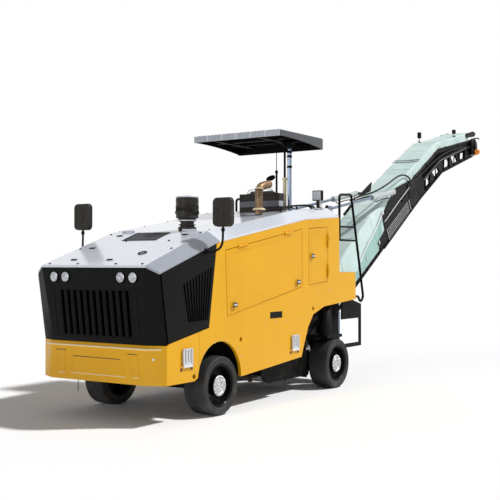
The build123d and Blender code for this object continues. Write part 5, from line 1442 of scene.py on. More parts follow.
soften("canopy", ROOF_EDGE, finishes=[CANOPY_GREY, BLACK], choose=roof_finish)
roof = Form()
for i in range(SEGMENTS):
    y0 = -ROOF_HALF + i * SEGMENT_WIDTH
    lap = 0.0015 * (i % 2)
    front, rear = ROOF_FRONT + 0.002 + lap, ROOF_REAR + 0.02
    roof.plate([(front, 3.302), (front + 0.004, 3.300), (front + 0.004, ROOF_TOP + 0.002),
                (front - 0.002, ROOF_TOP + 0.006), (rear, ROOF_TOP + 0.006 + lap), (rear, ROOF_TOP + 0.001),
                (front, ROOF_TOP + 0.001)], y0 + 0.004, y0 + SEGMENT_WIDTH - 0.004, 0, 0.001)
    for share in (0.25, 0.5, 0.75):
        y = y0 + SEGMENT_WIDTH * share
        low, high = ROOF_TOP + 0.005, ROOF_TOP + 0.016
        roof.skin([[(x, y - 0.016, low), (x, y - 0.007, high), (x, y + 0.007, high), (x, y + 0.016, low)]
                   for x in (ROOF_FRONT - 0.02, ROOF_REAR + 0.05)], 0, edge=0.002)
        near, far = front + 0.003, front + 0.011
        roof.skin([[(near, y - 0.014, z), (far, y - 0.006, z), (far, y + 0.006, z), (near, y + 0.014, z)]
                   for z in (3.312, ROOF_TOP - 0.012)], 0, edge=0.002)
roof.done("roof_segments", "canopy", "frame_paint", CANOPY_LIGHT)
seams_of_roof = Form()
for i in range(1, SEGMENTS):
    y = -ROOF_HALF + i * SEGMENT_WIDTH
    seams_of_roof.tube([(ROOF_FRONT + 0.006, y, 3.303), (ROOF_FRONT + 0.006, y, ROOF_TOP - 0.002),
                        (ROOF_FRONT - 0.006, y, ROOF_TOP + 0.009), (ROOF_REAR + 0.03, y, ROOF_TOP + 0.009)],
                       0.0065, 0, 8)
seams_of_roof.done("roof_seams", "canopy", "light_plastic", WHITE)
lining = Form()
for reach in (-1.70, -2.04, -2.39, -2.60):
    lining.block((at(reach) - 0.020, -ROOF_HALF + 0.016, ROOF_TOP - 0.055),
                 (at(reach) + 0.020, ROOF_HALF - 0.016, ROOF_TOP - 0.021), 0, 0.004)
for y in (-0.40, 0.30):
    lining.block((ROOF_REAR + 0.02, y - 0.022, ROOF_TOP - 0.070), (ROOF_FRONT - 0.02, y + 0.022, ROOF_TOP - 0.050),
                 0, 0.004)
for y, radius, foot in ((0.375, 0.042, -0.080), (0.300, 0.034, -0.045)):
    lining.lathe([(foot, radius * 0.8), (foot + 0.015, radius), (-0.012, radius), (0.0, radius * 1.5),
                  (0.012, radius * 1.5)], (POST_X, y, ROOF_TOP - 0.075), AXIS_Z, steps=20)
lining.done("roof_frame", "canopy", "frame_paint", FRAME_BLACK)
rods = Form()
for y, radius, low, finish in ((0.375, 0.0281, 2.44, 0), (0.300, 0.0151, 2.845, 1)):
    rods.lathe([(low, radius), (3.28, radius)], (POST_X, y, 0), AXIS_Z, finish, steps=96)
for z in (2.98, 3.12, 3.18):
    rods.lathe([(-0.016, 0.0290), (-0.014, 0.0345), (0.014, 0.0345), (0.016, 0.0290)], (POST_X, 0.375, z), AXIS_Z,
               1, 24, capped=False)
rods.done("canopy_rods", "canopy", "rod_chrome", CHROME, FRAME_BLACK)
posts = Form()
for finish, (y, radius, high) in enumerate(((0.375, 0.036, 2.425), (0.300, 0.025, 2.835), (0.170, 0.014, 2.935))):
    collar = high * 0.4 + POST_FOOT * 0.6
    for profile in ([(POST_FOOT, radius - 0.003), (POST_FOOT, radius), (high - 0.030, radius),
                     (high - 0.030, radius + 0.007), (high, radius + 0.007), (high, radius - 0.003)],
                    [(collar - 0.015, radius), (collar - 0.012, radius + 0.005), (collar + 0.012, radius + 0.005),
                     (collar + 0.015, radius)]):
        posts.lathe(profile, (POST_X, y, 0), AXIS_Z, finish, steps=28, capped=False)
posts.tube([(POST_X, 0.170, 2.910), (POST_X, 0.170, 2.930), (POST_X, 0.170, 2.945)], [0.013, 0.018, 0.012], 2, 12)
posts.done("canopy_post_sleeves", "chassis", "frame_paint", CHROME, CREAM_AND_HIGHLIGHT, FRAME_BLACK)
print(SEGMENTS, "roof segments")

# %% [markdown]
# ## Mirrors, pre-cleaner and exhaust
# A mirror's shell is a rounded box with a thicker rim round its glass. The pre-cleaner is spun from thin sheet, and
# the exhaust is bent tube that heat has turned brown, with a flap that keeps the rain out.

# %% Mirrors
def rounded_box(form, low, high, radius, steps=5):
    """A box in y and z with round corners, between two x planes with softened rims."""
    (x0, y0, z0), (x1, y1, z1) = low, high
    rings = []
    for x, shrink in ((x0, 0.010), (x0 + 0.006, 0.002), (x0 + 0.014, 0.0), (x1 - 0.012, 0.0), (x1 - 0.004, 0.004),
                      (x1, 0.012)):
        ring = []
        for quarter, (y, z) in enumerate(((y1 - radius, z1 - radius), (y0 + radius, z1 - radius),
                                          (y0 + radius, z0 + radius), (y1 - radius, z0 + radius))):
            for k in range(steps + 1):
                turn = math.pi / 2 * (quarter + k / steps)
                ring.append((x, y + math.cos(turn) * (radius - shrink), z + math.sin(turn) * (radius - shrink)))
        rings.append(ring)
    form.skin(rings)


mirror_low, mirror_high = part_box("mirrors")
MIRROR_X, MIRROR_Y, MIRROR_WIDTH, MIRROR_TALL = at(0.190), 1.030, 0.250, 0.315
ARM_REACH, ARM_FOOT = 0.270, mirror_low.z + 0.013
shells, glasses, arms = Form(), Form(), Form()
for side in (1, -1):
    y, z0, z1 = side * MIRROR_Y, mirror_high.z - MIRROR_TALL, mirror_high.z
    for form, near, far, grown, radius in ((shells, -0.030, 0.030, 0.0, 0.052),
                                           (shells, -0.034, -0.012, 0.003, 0.055),
                                           (glasses, -0.0365, -0.0325, -0.014, 0.042)):
        half = MIRROR_WIDTH / 2 + grown
        rounded_box(form, (MIRROR_X + near, y - half, z0 - grown), (MIRROR_X + far, y + half, z1 + grown), radius)
    shells.block((MIRROR_X + 0.026, y - 0.030, z0 + 0.10), (MIRROR_X + 0.036, y + 0.030, z0 + 0.20), 0, 0.004)
    arms.tube(bent([(at(ARM_REACH), side * (SIDE_Y + 0.004), ARM_FOOT),
                    (at(ARM_REACH), side * (SIDE_Y + 0.090), ARM_FOOT - 0.006),
                    (at(0.20), side * (MIRROR_Y - 0.004), ARM_FOOT + 0.050),
                    (MIRROR_X, y, z0 - 0.07), (MIRROR_X, y, z0 + 0.05)]), 0.0125, 0, 14)
    arms.side_block(side, (at(0.235), at(0.305)), (SIDE_Y + 0.0005, SIDE_Y + 0.010),
                    (ARM_FOOT - 0.035, ARM_FOOT + 0.035), 0, 0.003)
    arms.lathe([(-0.020, 0.0135), (-0.018, 0.020), (0.018, 0.020), (0.020, 0.0135)],
               (at(0.192), y, z0 - 0.035), AXIS_Z, 0, steps=20, capped=False)
shells.done("mirror_shells", "chassis", "mirror_glass", MIRROR_SHELL, replaces=["mirrors"])
glasses.done("mirror_glasses", "chassis", "mirror_glass", MIRROR_GLASS)
arms.done("mirror_arms", "chassis", "black_paint", BLACK)
print("mirrors", round(mirror_high.z - MIRROR_TALL, 3), "to", round(mirror_high.z, 3), "high")

# %% Air pre-cleaner, turned
CLEANER = Vector((at(-0.090), 0.330, top_z(-0.090)))
BOWL_RADIUS, RIB_RING, VANE_COUNT = 0.1290, 0.1325, 40
cleaner = Form()
cleaner.lathe([(-0.010, 0.100), (0.008, 0.1045), (0.030, 0.1045), (0.036, 0.090), (0.038, 0.082), (0.050, 0.082),
               (0.054, 0.098), (0.062, 0.098), (0.066, 0.078), (0.088, 0.077), (0.094, 0.086), (0.118, 0.096),
               (0.131, 0.110), (0.136, 0.126), (0.142, 0.1310), (0.150, 0.1315), (0.153, BOWL_RADIUS),
               (0.300, BOWL_RADIUS), (0.303, 0.1318), (0.352, 0.1318), (0.364, BOWL_RADIUS), (0.372, 0.1240),
               (0.377, 0.1150)], CLEANER, AXIS_Z, 0, steps=64)
cleaner.lathe([(0.370, 0.1300), (0.378, 0.1325), (0.384, 0.1300), (0.390, 0.0900), (0.394, 0.0)],
              CLEANER, AXIS_Z, 2, steps=64)
cleaner.lathe([(0.378, 0.030), (0.378, 0.036), (0.390, 0.036), (0.396, 0.028), (0.400, 0.0)],
              CLEANER, AXIS_Z, 0, steps=24)
cleaner.lathe([(0.100, 0.094), (0.100, 0.104), (0.112, 0.107), (0.116, 0.101)], CLEANER, AXIS_Z, 1,
              steps=48, looped=True)
for turn in turns(3, 0.5):
    spot = CLEANER + spoke(turn) * RIB_RING
    cleaner.tube([spot + AXIS_Z * 0.27, spot + AXIS_Z * 0.345], 0.0055, 0, sides=8)
cleaner.done("pre_cleaner_bowl", "chassis", "black_paint", MIRROR_SHELL, STEEL, PALE, replaces=["air_precleaner"])
vanes = [(CLEANER + AXIS_Z * 0.225 + spoke(turn) * BOWL_RADIUS, spoke(turn)) for turn in turns(VANE_COUNT)]
vane = Form()
vane.block((-0.0016, -0.062, -0.001), (0.0016, 0.062, 0.0030), edge=0.001, steps=1)
repeated("pre_cleaner_vanes", template(vane, "cleaner_vane"), vanes, "chassis", "black_paint", BLACK)
print(len(vanes), "vanes round the pre-cleaner")

# %% Exhaust: a brown bent pipe, its clamps with a painted highlight at the bend, black discs as painted shade in the heat shield's holes, and a rain flap
PIPE = Vector((at(-1.440), 0.440, top_z(-1.440)))
PIPE_OUTER, PIPE_INNER = 0.050, 0.0445
SHIELD_ROWS, SHIELD_HOLES = 10, 12
pipe_line = bent([PIPE + Vector(corner) for corner in
                  ((0, 0, 0.010), (0, 0, 0.170), (0, 0, 0.345), (-0.115, 0, 0.385), (-0.235, 0, 0.405))], 10)
pipe = Form()
pipe.tube(pipe_line, PIPE_OUTER, 0, sides=36, capped=False)
pipe.tube(pipe_line[::-1], PIPE_INNER, 1, sides=36, capped=False)
mouth = pipe_line[-1]
mouth_way = (pipe_line[-1] - pipe_line[-2]).normalized()
pipe.lathe([(-0.014, PIPE_INNER), (-0.014, 0.0530), (0.0, 0.0540), (0.001, PIPE_OUTER), (0.001, PIPE_INNER)],
           mouth, mouth_way, 0, 36, looped=True)
pipe.done("exhaust_bend", "chassis", "exhaust_steel", EXHAUST, HOSE, replaces=["exhaust_pipe"], angle=math.radians(50))
clamps = Form()
# The two low rings are the flange's clamp; the cream ring just under the bend paints the bend's highlight.
for rise, spread in ((0.062, 0.084), (0.074, 0.070), (0.330, 0.054)):
    clamps.lathe([(0.0, PIPE_OUTER), (0.0, spread), (0.010, spread), (0.012, spread - 0.004), (0.012, PIPE_OUTER)],
                 PIPE + AXIS_Z * rise, AXIS_Z, 0, 36, looped=True)
clamps.done("exhaust_clamps", "chassis", "light_plastic", CREAM_AND_HIGHLIGHT)
flap = Form()
flap_back = mouth + Vector((0.004, 0, 0.040))
flap_tip = mouth + Vector((-0.095, 0, 0.118))
flap_up = (flap_tip - flap_back).cross(AXIS_Y).normalized() * 0.007
rings = [(flap_back + flap_tip) / 2 + spoke(turn, (flap_tip - flap_back) * 0.5, AXIS_Y * 0.060) for turn in turns(24)]
flap.skin([[point - flap_up for point in rings], [point + flap_up for point in rings]], 0, edge=0.001)
flap.block(flap_back - Vector((0.014, 0.020, 0.012)), flap_back + Vector((0.014, 0.020, 0.010)), 0, 0.003)
flap.done("exhaust_flap", "chassis", "black_paint", BLACK)
# Black discs stand for the shield's holes: the shade seen through them is painted.
holes = []
for row in range(SHIELD_ROWS):
    for turn in turns(SHIELD_HOLES, math.pi / SHIELD_HOLES * (row % 2)):
        holes.append((PIPE + AXIS_Z * (0.095 + row * 0.026) + spoke(turn) * 0.0502, spoke(turn)))
SHIELD_HOLE_SHADE = stud("shield_hole", [(-0.0008, 0.0085), (0.0006, 0.0080), (0.0008, 0.0)], 10)
repeated("exhaust_shield_holes", SHIELD_HOLE_SHADE, holes, "chassis", "hose_rubber", HOSE)
print(len(holes), "holes in the exhaust's shield")

# %% [markdown]
# ## Operator's place
# The seat's two pads are blown up with a short cloth simulation from slightly smaller blocks and then get their
# sewn channels and piping. The console shows bands of black, ribbed grey and anti-slip plate.

# %% Padded shapes: even mesh, cloth under pressure, capped travel
PAD_VOXEL = 0.008
PAD_PRESSURE = 4.0
PAD_TRAVEL = 0.024
PAD_FRAMES = 20


def padded_mesh(low, high, corner):
    """A block with round corners, meshed evenly and blown up by the cloth simulation."""
    form = Form()
    form.block(low, high, 0, corner, 5)
    mesh = bpy.data.meshes.new("pad")
    form.mesh.to_mesh(mesh)
    form.mesh.free()
    pad = bpy.data.objects.new("pad", mesh)
    scene.collection.objects.link(pad)
    even = pad.modifiers.new("even mesh", "REMESH")
    even.mode, even.voxel_size = "VOXEL", PAD_VOXEL
    graph = bpy.context.evaluated_depsgraph_get()
    even_mesh = bpy.data.meshes.new_from_object(pad.evaluated_get(graph), depsgraph=graph)
    pad.modifiers.clear()
    pad.data = even_mesh
    rest = [vertex.co.copy() for vertex in even_mesh.vertices]
    cloth = pad.modifiers.new("stuffing", "CLOTH")
    cloth.settings.use_pressure = True
    cloth.settings.uniform_pressure_force = PAD_PRESSURE
    cloth.settings.effector_weights.gravity = 0
    for step in range(1, PAD_FRAMES + 1):
        scene.frame_set(step)
    graph = bpy.context.evaluated_depsgraph_get()
    blown = bpy.data.meshes.new_from_object(pad.evaluated_get(graph), depsgraph=graph)
    pad.modifiers.clear()
    for vertex, start in zip(blown.vertices, rest):
        travel = vertex.co - start
        if travel.length > PAD_TRAVEL:
            vertex.co = start + travel.normalized() * PAD_TRAVEL
    scene.frame_set(1)
    even_mesh = blown
    bpy.data.objects.remove(pad)
    return even_mesh


def channelled(mesh, lines, depth=0.009, reach=0.012):
    """Sewn channels: the face sinks towards lines, each an axis and the place on it."""
    for vertex in mesh.vertices:
        sink = max(math.exp(-((vertex.co[axis] - place) / reach) ** 2) for axis, place in lines)
        vertex.co -= vertex.normal * depth * sink
    return mesh


# %% Seat cushion, back and their piping
SEAT_Y, SEAT_HALF = -0.190, 0.220
seat_low, seat_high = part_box("seat")
CUSHION = (at(-2.540), at(-2.140))
cushion_top, cushion_foot = 2.140, 2.030
slack = 0.018
cushion = padded_mesh((CUSHION[0] + 0.05, SEAT_Y - SEAT_HALF + slack, cushion_foot + 0.012),
                      (CUSHION[1] - slack, SEAT_Y + SEAT_HALF - slack, cushion_top - 0.012), 0.035)
channelled(cushion, [(1, SEAT_Y - 0.12), (1, SEAT_Y + 0.12), (0, CUSHION[1] - 0.13)])
backrest = padded_mesh((CUSHION[0] + 0.012, SEAT_Y - SEAT_HALF + slack, cushion_top + 0.02),
                       (CUSHION[0] + 0.090, SEAT_Y + SEAT_HALF - slack, seat_high.z - slack), 0.036)
channelled(backrest, [(1, SEAT_Y - 0.12), (1, SEAT_Y + 0.12), (2, 2.36), (2, 2.50)])
for name, mesh in (("seat_cushion", cushion), ("seat_backrest", backrest)):
    pad = piece_of(name, mesh, "chassis", "seat_vinyl", VINYL, replaces=["seat"], crisp=False)
    rounder = pad.modifiers.new("finer", "SUBSURF")
    rounder.levels = rounder.render_levels = 1
piping = Form()


def piping_ring(centre, half_a, half_b, axis_a, axis_b, corner):
    """Cord sewn round a pad, a rectangle with round corners."""
    points = []
    for quarter in range(4):
        turn0 = math.pi / 2 * quarter
        middle = (centre + axis_a * (half_a - corner) * (1 if quarter in (0, 3) else -1)
                  + axis_b * (half_b - corner) * (1 if quarter in (0, 1) else -1))
        for k in range(7):
            turn = turn0 + math.pi / 2 * k / 6
            points.append(middle + axis_a * math.cos(turn) * corner + axis_b * math.sin(turn) * corner)
    piping.tube(points, 0.0042, 0, 8, looped=True)


piping_ring(Vector(((CUSHION[0] + CUSHION[1]) / 2 + 0.016, SEAT_Y, cushion_top - 0.018)), 0.178,
            SEAT_HALF - 0.010, AXIS_X, AXIS_Y, 0.045)
piping_ring(Vector((CUSHION[0] + 0.088, SEAT_Y, (cushion_top + seat_high.z) / 2)), SEAT_HALF - 0.012,
            (seat_high.z - cushion_top) / 2 - 0.020, AXIS_Y, AXIS_Z, 0.045)
piping.done("seat_piping", "chassis", "seat_vinyl", BLACK)
shell = Form()
shell.block((CUSHION[0] + 0.002, SEAT_Y - 0.19, seat_low.z + 0.02),
            (CUSHION[0] + 0.014, SEAT_Y + 0.19, seat_high.z - 0.05), 0, 0.005)
shell.block((CUSHION[0] + 0.03, SEAT_Y - 0.17, seat_low.z), (CUSHION[1] - 0.06, SEAT_Y + 0.17, seat_low.z + 0.022),
            0, 0.006)
shell.done("seat_shell", "chassis", "console_plastic", CONSOLE_BLACK)
print("seat pads", len(cushion.vertices), "and", len(backrest.vertices), "points")

# %% Console: ribbed band, anti-slip plate, dials and the steering wheel
desk_low, desk_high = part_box("console")
DESK_FRONT, DESK_TOP = desk_high.x, desk_high.z
DESK_RIGHT, DESK_LEFT = desk_low.y, desk_high.y
RIBBED, RIB_COUNT = (2.425, 2.495), 15
STUD_PITCH, STUD_ROWS = 0.024, 7


def on_desk(form, near, far, margin, zs, finish=0, edge=0.002, steps=2):
    """A band across the console's front, standing between two distances ahead of it."""
    form.block((DESK_FRONT + near, DESK_RIGHT + margin, zs[0]), (DESK_FRONT + far, DESK_LEFT - margin, zs[1]),
               finish, edge, steps)


bands = Form()
on_desk(bands, -0.004, 0.003, 0.006, RIBBED, 0, 0.001)
for i in range(RIB_COUNT):
    z = RIBBED[0] + 0.004 + (RIBBED[1] - RIBBED[0] - 0.008) * i / (RIB_COUNT - 1)
    on_desk(bands, 0.002, 0.006, 0.008, (z - 0.0013, z + 0.0013), 1, 0.0008, 1)
for y0, y1 in ((DESK_RIGHT - 0.003, DESK_RIGHT + 0.002), (DESK_LEFT - 0.002, DESK_LEFT + 0.003)):
    bands.block((desk_low.x + 0.02, y0, RIBBED[0]), (DESK_FRONT - 0.004, y1, RIBBED[1]), 0, 0.001)
bands.done("console_bands", "chassis", "light_plastic", CANOPY_LIGHT, CANOPY_GREY)
desk_trim = Form()
for z in (2.415, 2.505, 2.590, 2.330):
    on_desk(desk_trim, -0.003, 0.007, 0.004, (z - 0.006, z + 0.006))
for y in (DESK_RIGHT + 0.012, (DESK_RIGHT + DESK_LEFT) / 2 - 0.05, DESK_LEFT - 0.012):
    desk_trim.block((DESK_FRONT - 0.003, y - 0.006, 2.505), (DESK_FRONT + 0.007, y + 0.006, 2.590), 0, 0.002)
desk_trim.done("console_trim", "chassis", "console_plastic", MIRROR_SHELL)
stud_count = int((DESK_LEFT - DESK_RIGHT - 0.05) / STUD_PITCH)
grip_places = [(Vector((DESK_FRONT + 0.0015, DESK_RIGHT + STUD_PITCH + STUD_PITCH * k + 0.012 * (row % 2),
                        2.215 + row * 0.0155)), AXIS_X) for row in range(STUD_ROWS) for k in range(stud_count)]
GRIP_STUD = stud("grip_stud", [(-0.001, 0.0072), (0.0022, 0.0058), (0.0024, 0.0)], 8)
repeated("console_grip_plate", GRIP_STUD, grip_places, "chassis", "light_plastic", CANOPY_GREY)
controls = Form()
DIAL = 0.030
for y in (0.02, 0.11, 0.20, 0.33, 0.42):
    centre = Vector((DESK_FRONT - 0.055, y, DESK_TOP))
    controls.lathe([(-0.002, DIAL), (0.006, DIAL), (0.010, DIAL * 0.9), (0.010, DIAL * 0.8), (0.006, DIAL * 0.76),
                    (0.006, 0.0)], centre, AXIS_Z, 0, 24)
    controls.lathe([(0.0062, DIAL * 0.74), (0.0072, DIAL * 0.74), (0.0072, 0.0)], centre, AXIS_Z, 1, 24)
wheel_middle = Vector((desk_low.x - 0.020, 0.205, DESK_TOP - 0.020))


def on_wheel(turn):
    """A point on the rim of the tilted steering wheel."""
    return wheel_middle + Vector((math.cos(turn) * 0.105, math.sin(turn) * 0.125, math.cos(turn) * 0.030))


controls.tube([on_wheel(turn) for turn in turns(36)], 0.0105, 0, 10, looped=True)
controls.tube([wheel_middle, wheel_middle + Vector((0.05, 0, -0.06))], 0.018, 0, 12)
for turn in (0.5, 2.6, 4.7):
    controls.tube([wheel_middle, on_wheel(turn)], 0.008, 0, 8)
controls.done("console_controls", "chassis", "console_plastic", CONSOLE_BLACK, PALE)
print(len(grip_places), "studs on the console's grip plate")

# %% Control box on its stalk, levers and rails on the deck
PANEL, PANEL_HALF, SCREEN_HALF = Vector((at(-2.670), 0.603, 2.605)), 0.070, 0.058
stalk_foot = Vector((PANEL.x, PANEL.y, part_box("control_panel")[0].z))
BUTTONS = ((-0.035, 0.030), (0.0, 0.030), (0.035, 0.030), (-0.035, -0.005), (0.0, -0.005), (0.035, -0.005),
           (-0.018, -0.040), (0.022, -0.040))
panel_box = Form()
panel_box.block(PANEL - Vector((0.030, PANEL_HALF, PANEL_HALF)), PANEL + Vector((0.030, PANEL_HALF, PANEL_HALF)),
                0, 0.010, 3)
panel_box.block(PANEL + Vector((0.024, -SCREEN_HALF, -SCREEN_HALF)), PANEL + Vector((0.033, SCREEN_HALF, SCREEN_HALF)),
                1, 0.003)
panel_box.tube([stalk_foot, PANEL - AXIS_Z * (PANEL_HALF - 0.01)], 0.022, 2, 16)
panel_box.lathe([(0.0, 0.045), (0.006, 0.045), (0.010, 0.024), (0.028, 0.022)], stalk_foot, AXIS_Z, 2, 24)
for y, z in BUTTONS:
    panel_box.lathe([(0.0, 0.010), (0.006, 0.010), (0.008, 0.008), (0.008, 0.0)],
                    PANEL + Vector((-0.029, y, z)), -AXIS_X, 2, 16)
panel_box.done("control_box", "chassis", "light_plastic", WHITE, PALE, CONSOLE_BLACK, replaces=["control_panel"])
levers = Form()
for x, lean in ((-2.735, 0.012), (-2.765, -0.010)):
    foot = Vector((at(x), 0.600, top_z(x) - 0.004))
    levers.lathe([(0.0, 0.020), (0.010, 0.018), (0.018, 0.009)], foot, AXIS_Z, 0, 16)
    levers.tube([foot, foot + Vector((lean, 0, 0.10)), foot + Vector((lean * 2, 0, 0.19))], 0.0065, 1, 8)
    levers.lathe([(-0.012, 0.0), (-0.012, 0.010), (0.0, 0.017), (0.014, 0.017), (0.026, 0.010), (0.030, 0.0)],
                 foot + Vector((lean * 2, 0, 0.205)), AXIS_Z, 0, 16)
levers.block((at(-2.605), 0.66, top_z(-2.50) - 0.010), (at(-2.40), 0.73, top_z(-2.50) + 0.006), 1, 0.003)
levers.block((at(-2.80), 0.792, 2.300), (at(-2.50), 0.806, 2.345), 0, 0.004)
levers.done("deck_levers", "chassis", "console_plastic", CONSOLE_BLACK, STEEL)
deck_rails = Form()
rail_points = [(-1.676, 0.030), (-1.72, 0.052), (-2.10, 0.056), (-2.48, 0.050), (-2.541, 0.010)]
for y in (0.575, 0.625):
    deck_rails.tube(bent([(at(x), y, top_z(x) + rise) for x, rise in rail_points]), 0.012, 0, 12)
for x, rise in ((-1.70, 0.044), (-2.10, 0.050), (-2.50, 0.042)):
    deck_rails.lathe([(-0.004, 0.024), (0.004, 0.022), (0.006, 0.011), (rise, 0.010)],
                     (at(x), 0.600, top_z(x)), AXIS_Z, 0, 16)
deck_rails.done("deck_rails", "chassis", "black_paint", BLACK)
print("levers, control box and rails done")

# %% [markdown]
# ## Sides: steps, doors, bumper
# The folding steps are punched plates. Doors get paddle latches, hinges and a pressed rim, the bumper its shallow
# recesses, and the edges of arches and panels their rows of bolts.

# %% Punched steps
STEP_WIDTH, STEP_LOW, STEP_TALL, STEP_OUT = 0.160, 0.605, 0.185, 0.028
STEP_REACHES = {"front": 0.630, "rear": -1.590}
STEP_TOP = STEP_LOW + STEP_TALL
# Black discs stand for the punched holes: the shade seen through them is painted.
STEP_HOLE_SHADE = stud("step_hole", [(-0.0006, 0.0078), (0.0006, 0.0074), (0.0008, 0.0)], 12)
brackets = Form()
for axle, reach in STEP_REACHES.items():
    for side_name, side in SIDES:
        node = f"step_{axle}_{side_name}"
        face = SIDE_Y + STEP_OUT
        left, right = at(reach) - STEP_WIDTH / 2, at(reach) + STEP_WIDTH / 2
        places = []
        for column in range(3):
            for row in range(7):
                z = STEP_LOW + 0.045 + row * 0.0205 + (0.010 if column % 2 else 0.0)
                if z < STEP_TOP - 0.012:
                    places.append(((at(reach) + (column - 1) * 0.046, side * (face + 0.0008), z), (0, side, 0)))
        repeated(node + "_holes", STEP_HOLE_SHADE, places, node, "hose_rubber", HOSE)
        rim = Form()
        for xs, zs in (((left, right), (STEP_TOP - 0.007, STEP_TOP)),
                       ((left, right), (STEP_LOW + 0.022, STEP_LOW + 0.029)),
                       ((left, left + 0.006), (STEP_LOW, STEP_TOP)), ((right - 0.006, right), (STEP_LOW, STEP_TOP))):
            rim.side_block(side, xs, (face - 0.002, face + 0.003), zs, 0, 0.001)
        rim.done(node + "_rim", node, "step_paint", WHITE)
        for x in (left - 0.012, right + 0.012):
            brackets.side_block(side, (x - 0.016, x + 0.016), (SIDE_Y + 0.001, SIDE_Y + 0.005),
                                (STEP_LOW - 0.045, STEP_LOW - 0.016))
            brackets.lathe([(0.0, 0.008), (0.004, 0.008), (0.006, 0.005), (0.006, 0.0)],
                           (x, side * (SIDE_Y + 0.005), STEP_LOW - 0.032), AXIS_Y * side, 0, 6)
brackets.done("step_brackets", "chassis", "rusty_steel", RUSTY)
print("punched steps on both sides")

# %% Doors: pressed rims, latches and hinges
def trim_line(form, points, y, side, width, proud, finish=0):
    """A thin raised strip on a side plane along points given as (reach, height)."""
    for (xa, za), (xb, zb) in zip(points, points[1:]):
        way = Vector((xb - xa, 0, zb - za)).normalized()
        out = Vector((-way.z, 0, way.x)) * width / 2
        a, b = Vector((at(xa), y, za)), Vector((at(xb), y, zb))
        rise = AXIS_Y * side * proud
        form.skin([[end - out, end + out, end + out + rise, end - out + rise] for end in (a, b)],
                  finish, edge=0.0006, steps=1)


def inset(corners, gap):
    """Corners moved towards their middle by a gap."""
    middle_x, middle_z = (sum(values) / len(corners) for values in zip(*corners))
    return [(x - math.copysign(gap, x - middle_x), z - math.copysign(gap, z - middle_z)) for x, z in corners]


DOORS = {
    "engine_door": [(-0.083, 1.832), (-0.126, 1.096), (-1.788, 1.389), (-1.781, 2.119)],
    "tank_door": [(-1.957, 2.131), (-1.959, 1.407), (-2.453, 1.445), (-2.449, 2.165)],
}
LATCHES = {"engine_door": [(-0.246, 1.216), (-1.659, 1.450)], "tank_door": [(-2.028, 1.779)]}
for side_name, side in SIDES:
    for door, corners in DOORS.items():
        node = f"{door}_{side_name}"
        skin = max(abs(corner.y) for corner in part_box(node))
        rim_of_door = Form()
        lip = inset(corners, 0.022)
        trim_line(rim_of_door, lip + lip[:1], side * (skin - 0.0005), side, 0.0035, 0.0022)
        rim_of_door.done(node + "_pressed_rim", node, "yellow_paint", YELLOW)
        latch = Form()
        for x, z in LATCHES[door]:
            x = at(x)
            latch.side_block(side, (x - 0.042, x + 0.042), (skin - 0.001, skin + 0.004), (z - 0.026, z + 0.026),
                             0, 0.004)
            latch.side_block(side, (x - 0.030, x + 0.022), (skin + 0.003, skin + 0.009), (z - 0.014, z + 0.014),
                             1, 0.004)
            latch.lathe([(0.0, 0.009), (0.004, 0.009), (0.005, 0.0)], (x + 0.030, side * (skin + 0.004), z),
                        AXIS_Y * side, 1, 16)
        latch.done(node + "_latches", node, "console_plastic", CONSOLE_BLACK, STEEL)
hinges = Form()
for side in (1, -1):
    for z in (2.015, 1.583):
        centre = Vector((at(-2.462), side * (SIDE_Y + 0.012), z))
        hinges.lathe([(-0.030, 0.0), (-0.030, 0.008), (-0.027, 0.0095), (-0.004, 0.0095), (-0.003, 0.008),
                      (0.003, 0.008), (0.004, 0.0095), (0.027, 0.0095), (0.030, 0.008), (0.030, 0.0)],
                     centre, AXIS_Z, 0, 18)
        hinges.side_block(side, (at(-2.500), at(-2.462)), (SIDE_Y + 0.0005, SIDE_Y + 0.006), (z - 0.026, z + 0.026))
hinges.done("door_hinges", "chassis", "black_paint", BLACK)
print("doors dressed")

# %% Liners over the front wheels
WELL_RADIUS, WELL_SHEET, WELL_STEPS = 0.520, 0.005, 24
liners = Form()
for side in (1, -1):
    arc = [math.radians(12 + 156 * k / WELL_STEPS) for k in range(WELL_STEPS + 1)]
    outline = [(math.cos(t) * WELL_RADIUS, WHEEL_RADIUS + math.sin(t) * WELL_RADIUS) for t in arc]
    outline += [(math.cos(t) * (WELL_RADIUS - WELL_SHEET), WHEEL_RADIUS + math.sin(t) * (WELL_RADIUS - WELL_SHEET))
                for t in reversed(arc)]
    liners.skin([[(at(x), side * y, z) for x, z in outline] for y in (0.360, 0.858)])
liners.done("wheel_well_liners", "chassis", "frame_paint", FRAME_BLACK)
print("liners over the front wheels")

# %% Panel seams, rows of bolts, blank plates
BOLT_RING = 0.500
seams, plates = Form(), Form()
bolt_places = []
for side in (1, -1):
    face = SIDE_Y + 0.0004
    trim_line(seams, [(0.231, 0.983), (-0.728, 1.149)], side * (face - 0.001), side, 0.004, 0.0016)
    arch = [(math.cos(turn) * BOLT_RING, WHEEL_RADIUS + math.sin(turn) * BOLT_RING)
            for turn in [math.radians(22 + 13.6 * k) for k in range(11)]]
    spots = [(x, z) for x, z in arch if z > 0.45] + [(x, 1.33) for x in (-1.90, -2.20, -2.50)]
    spots += [(x, 0.98) for x in (-0.90, -1.15, -1.40, -1.75)]
    bolt_places += [((at(x), side * face, z), (0, side, 0)) for x, z in spots]
    plates.side_block(side, (at(-1.30), at(-1.02)), (SIDE_Y + 0.0005, SIDE_Y + 0.003), (1.02, 1.10))
seams.done("side_seams", "chassis", "hose_rubber", HOSE)
repeated("side_bolts", BOLT, bolt_places, "chassis", "bare_steel", STEEL, size=0.8, spin=1.0)
plates.done("blank_plates", "chassis", "black_paint", BLACK)
print(len(bolt_places), "bolts on the sides")

# %% Bumper: recess rims, a painted highlight along its ledge, and the strap under it
BUMPER_SKIN = BVHTree.FromBMesh(merged_copy("bumper"))


def on_bumper(y, z):
    """Where the bumper's front lies at y and z, and which way it faces."""
    place, normal, face, distance = BUMPER_SKIN.ray_cast(Vector((at(1.60), y, z)), -AXIS_X)
    return place, normal


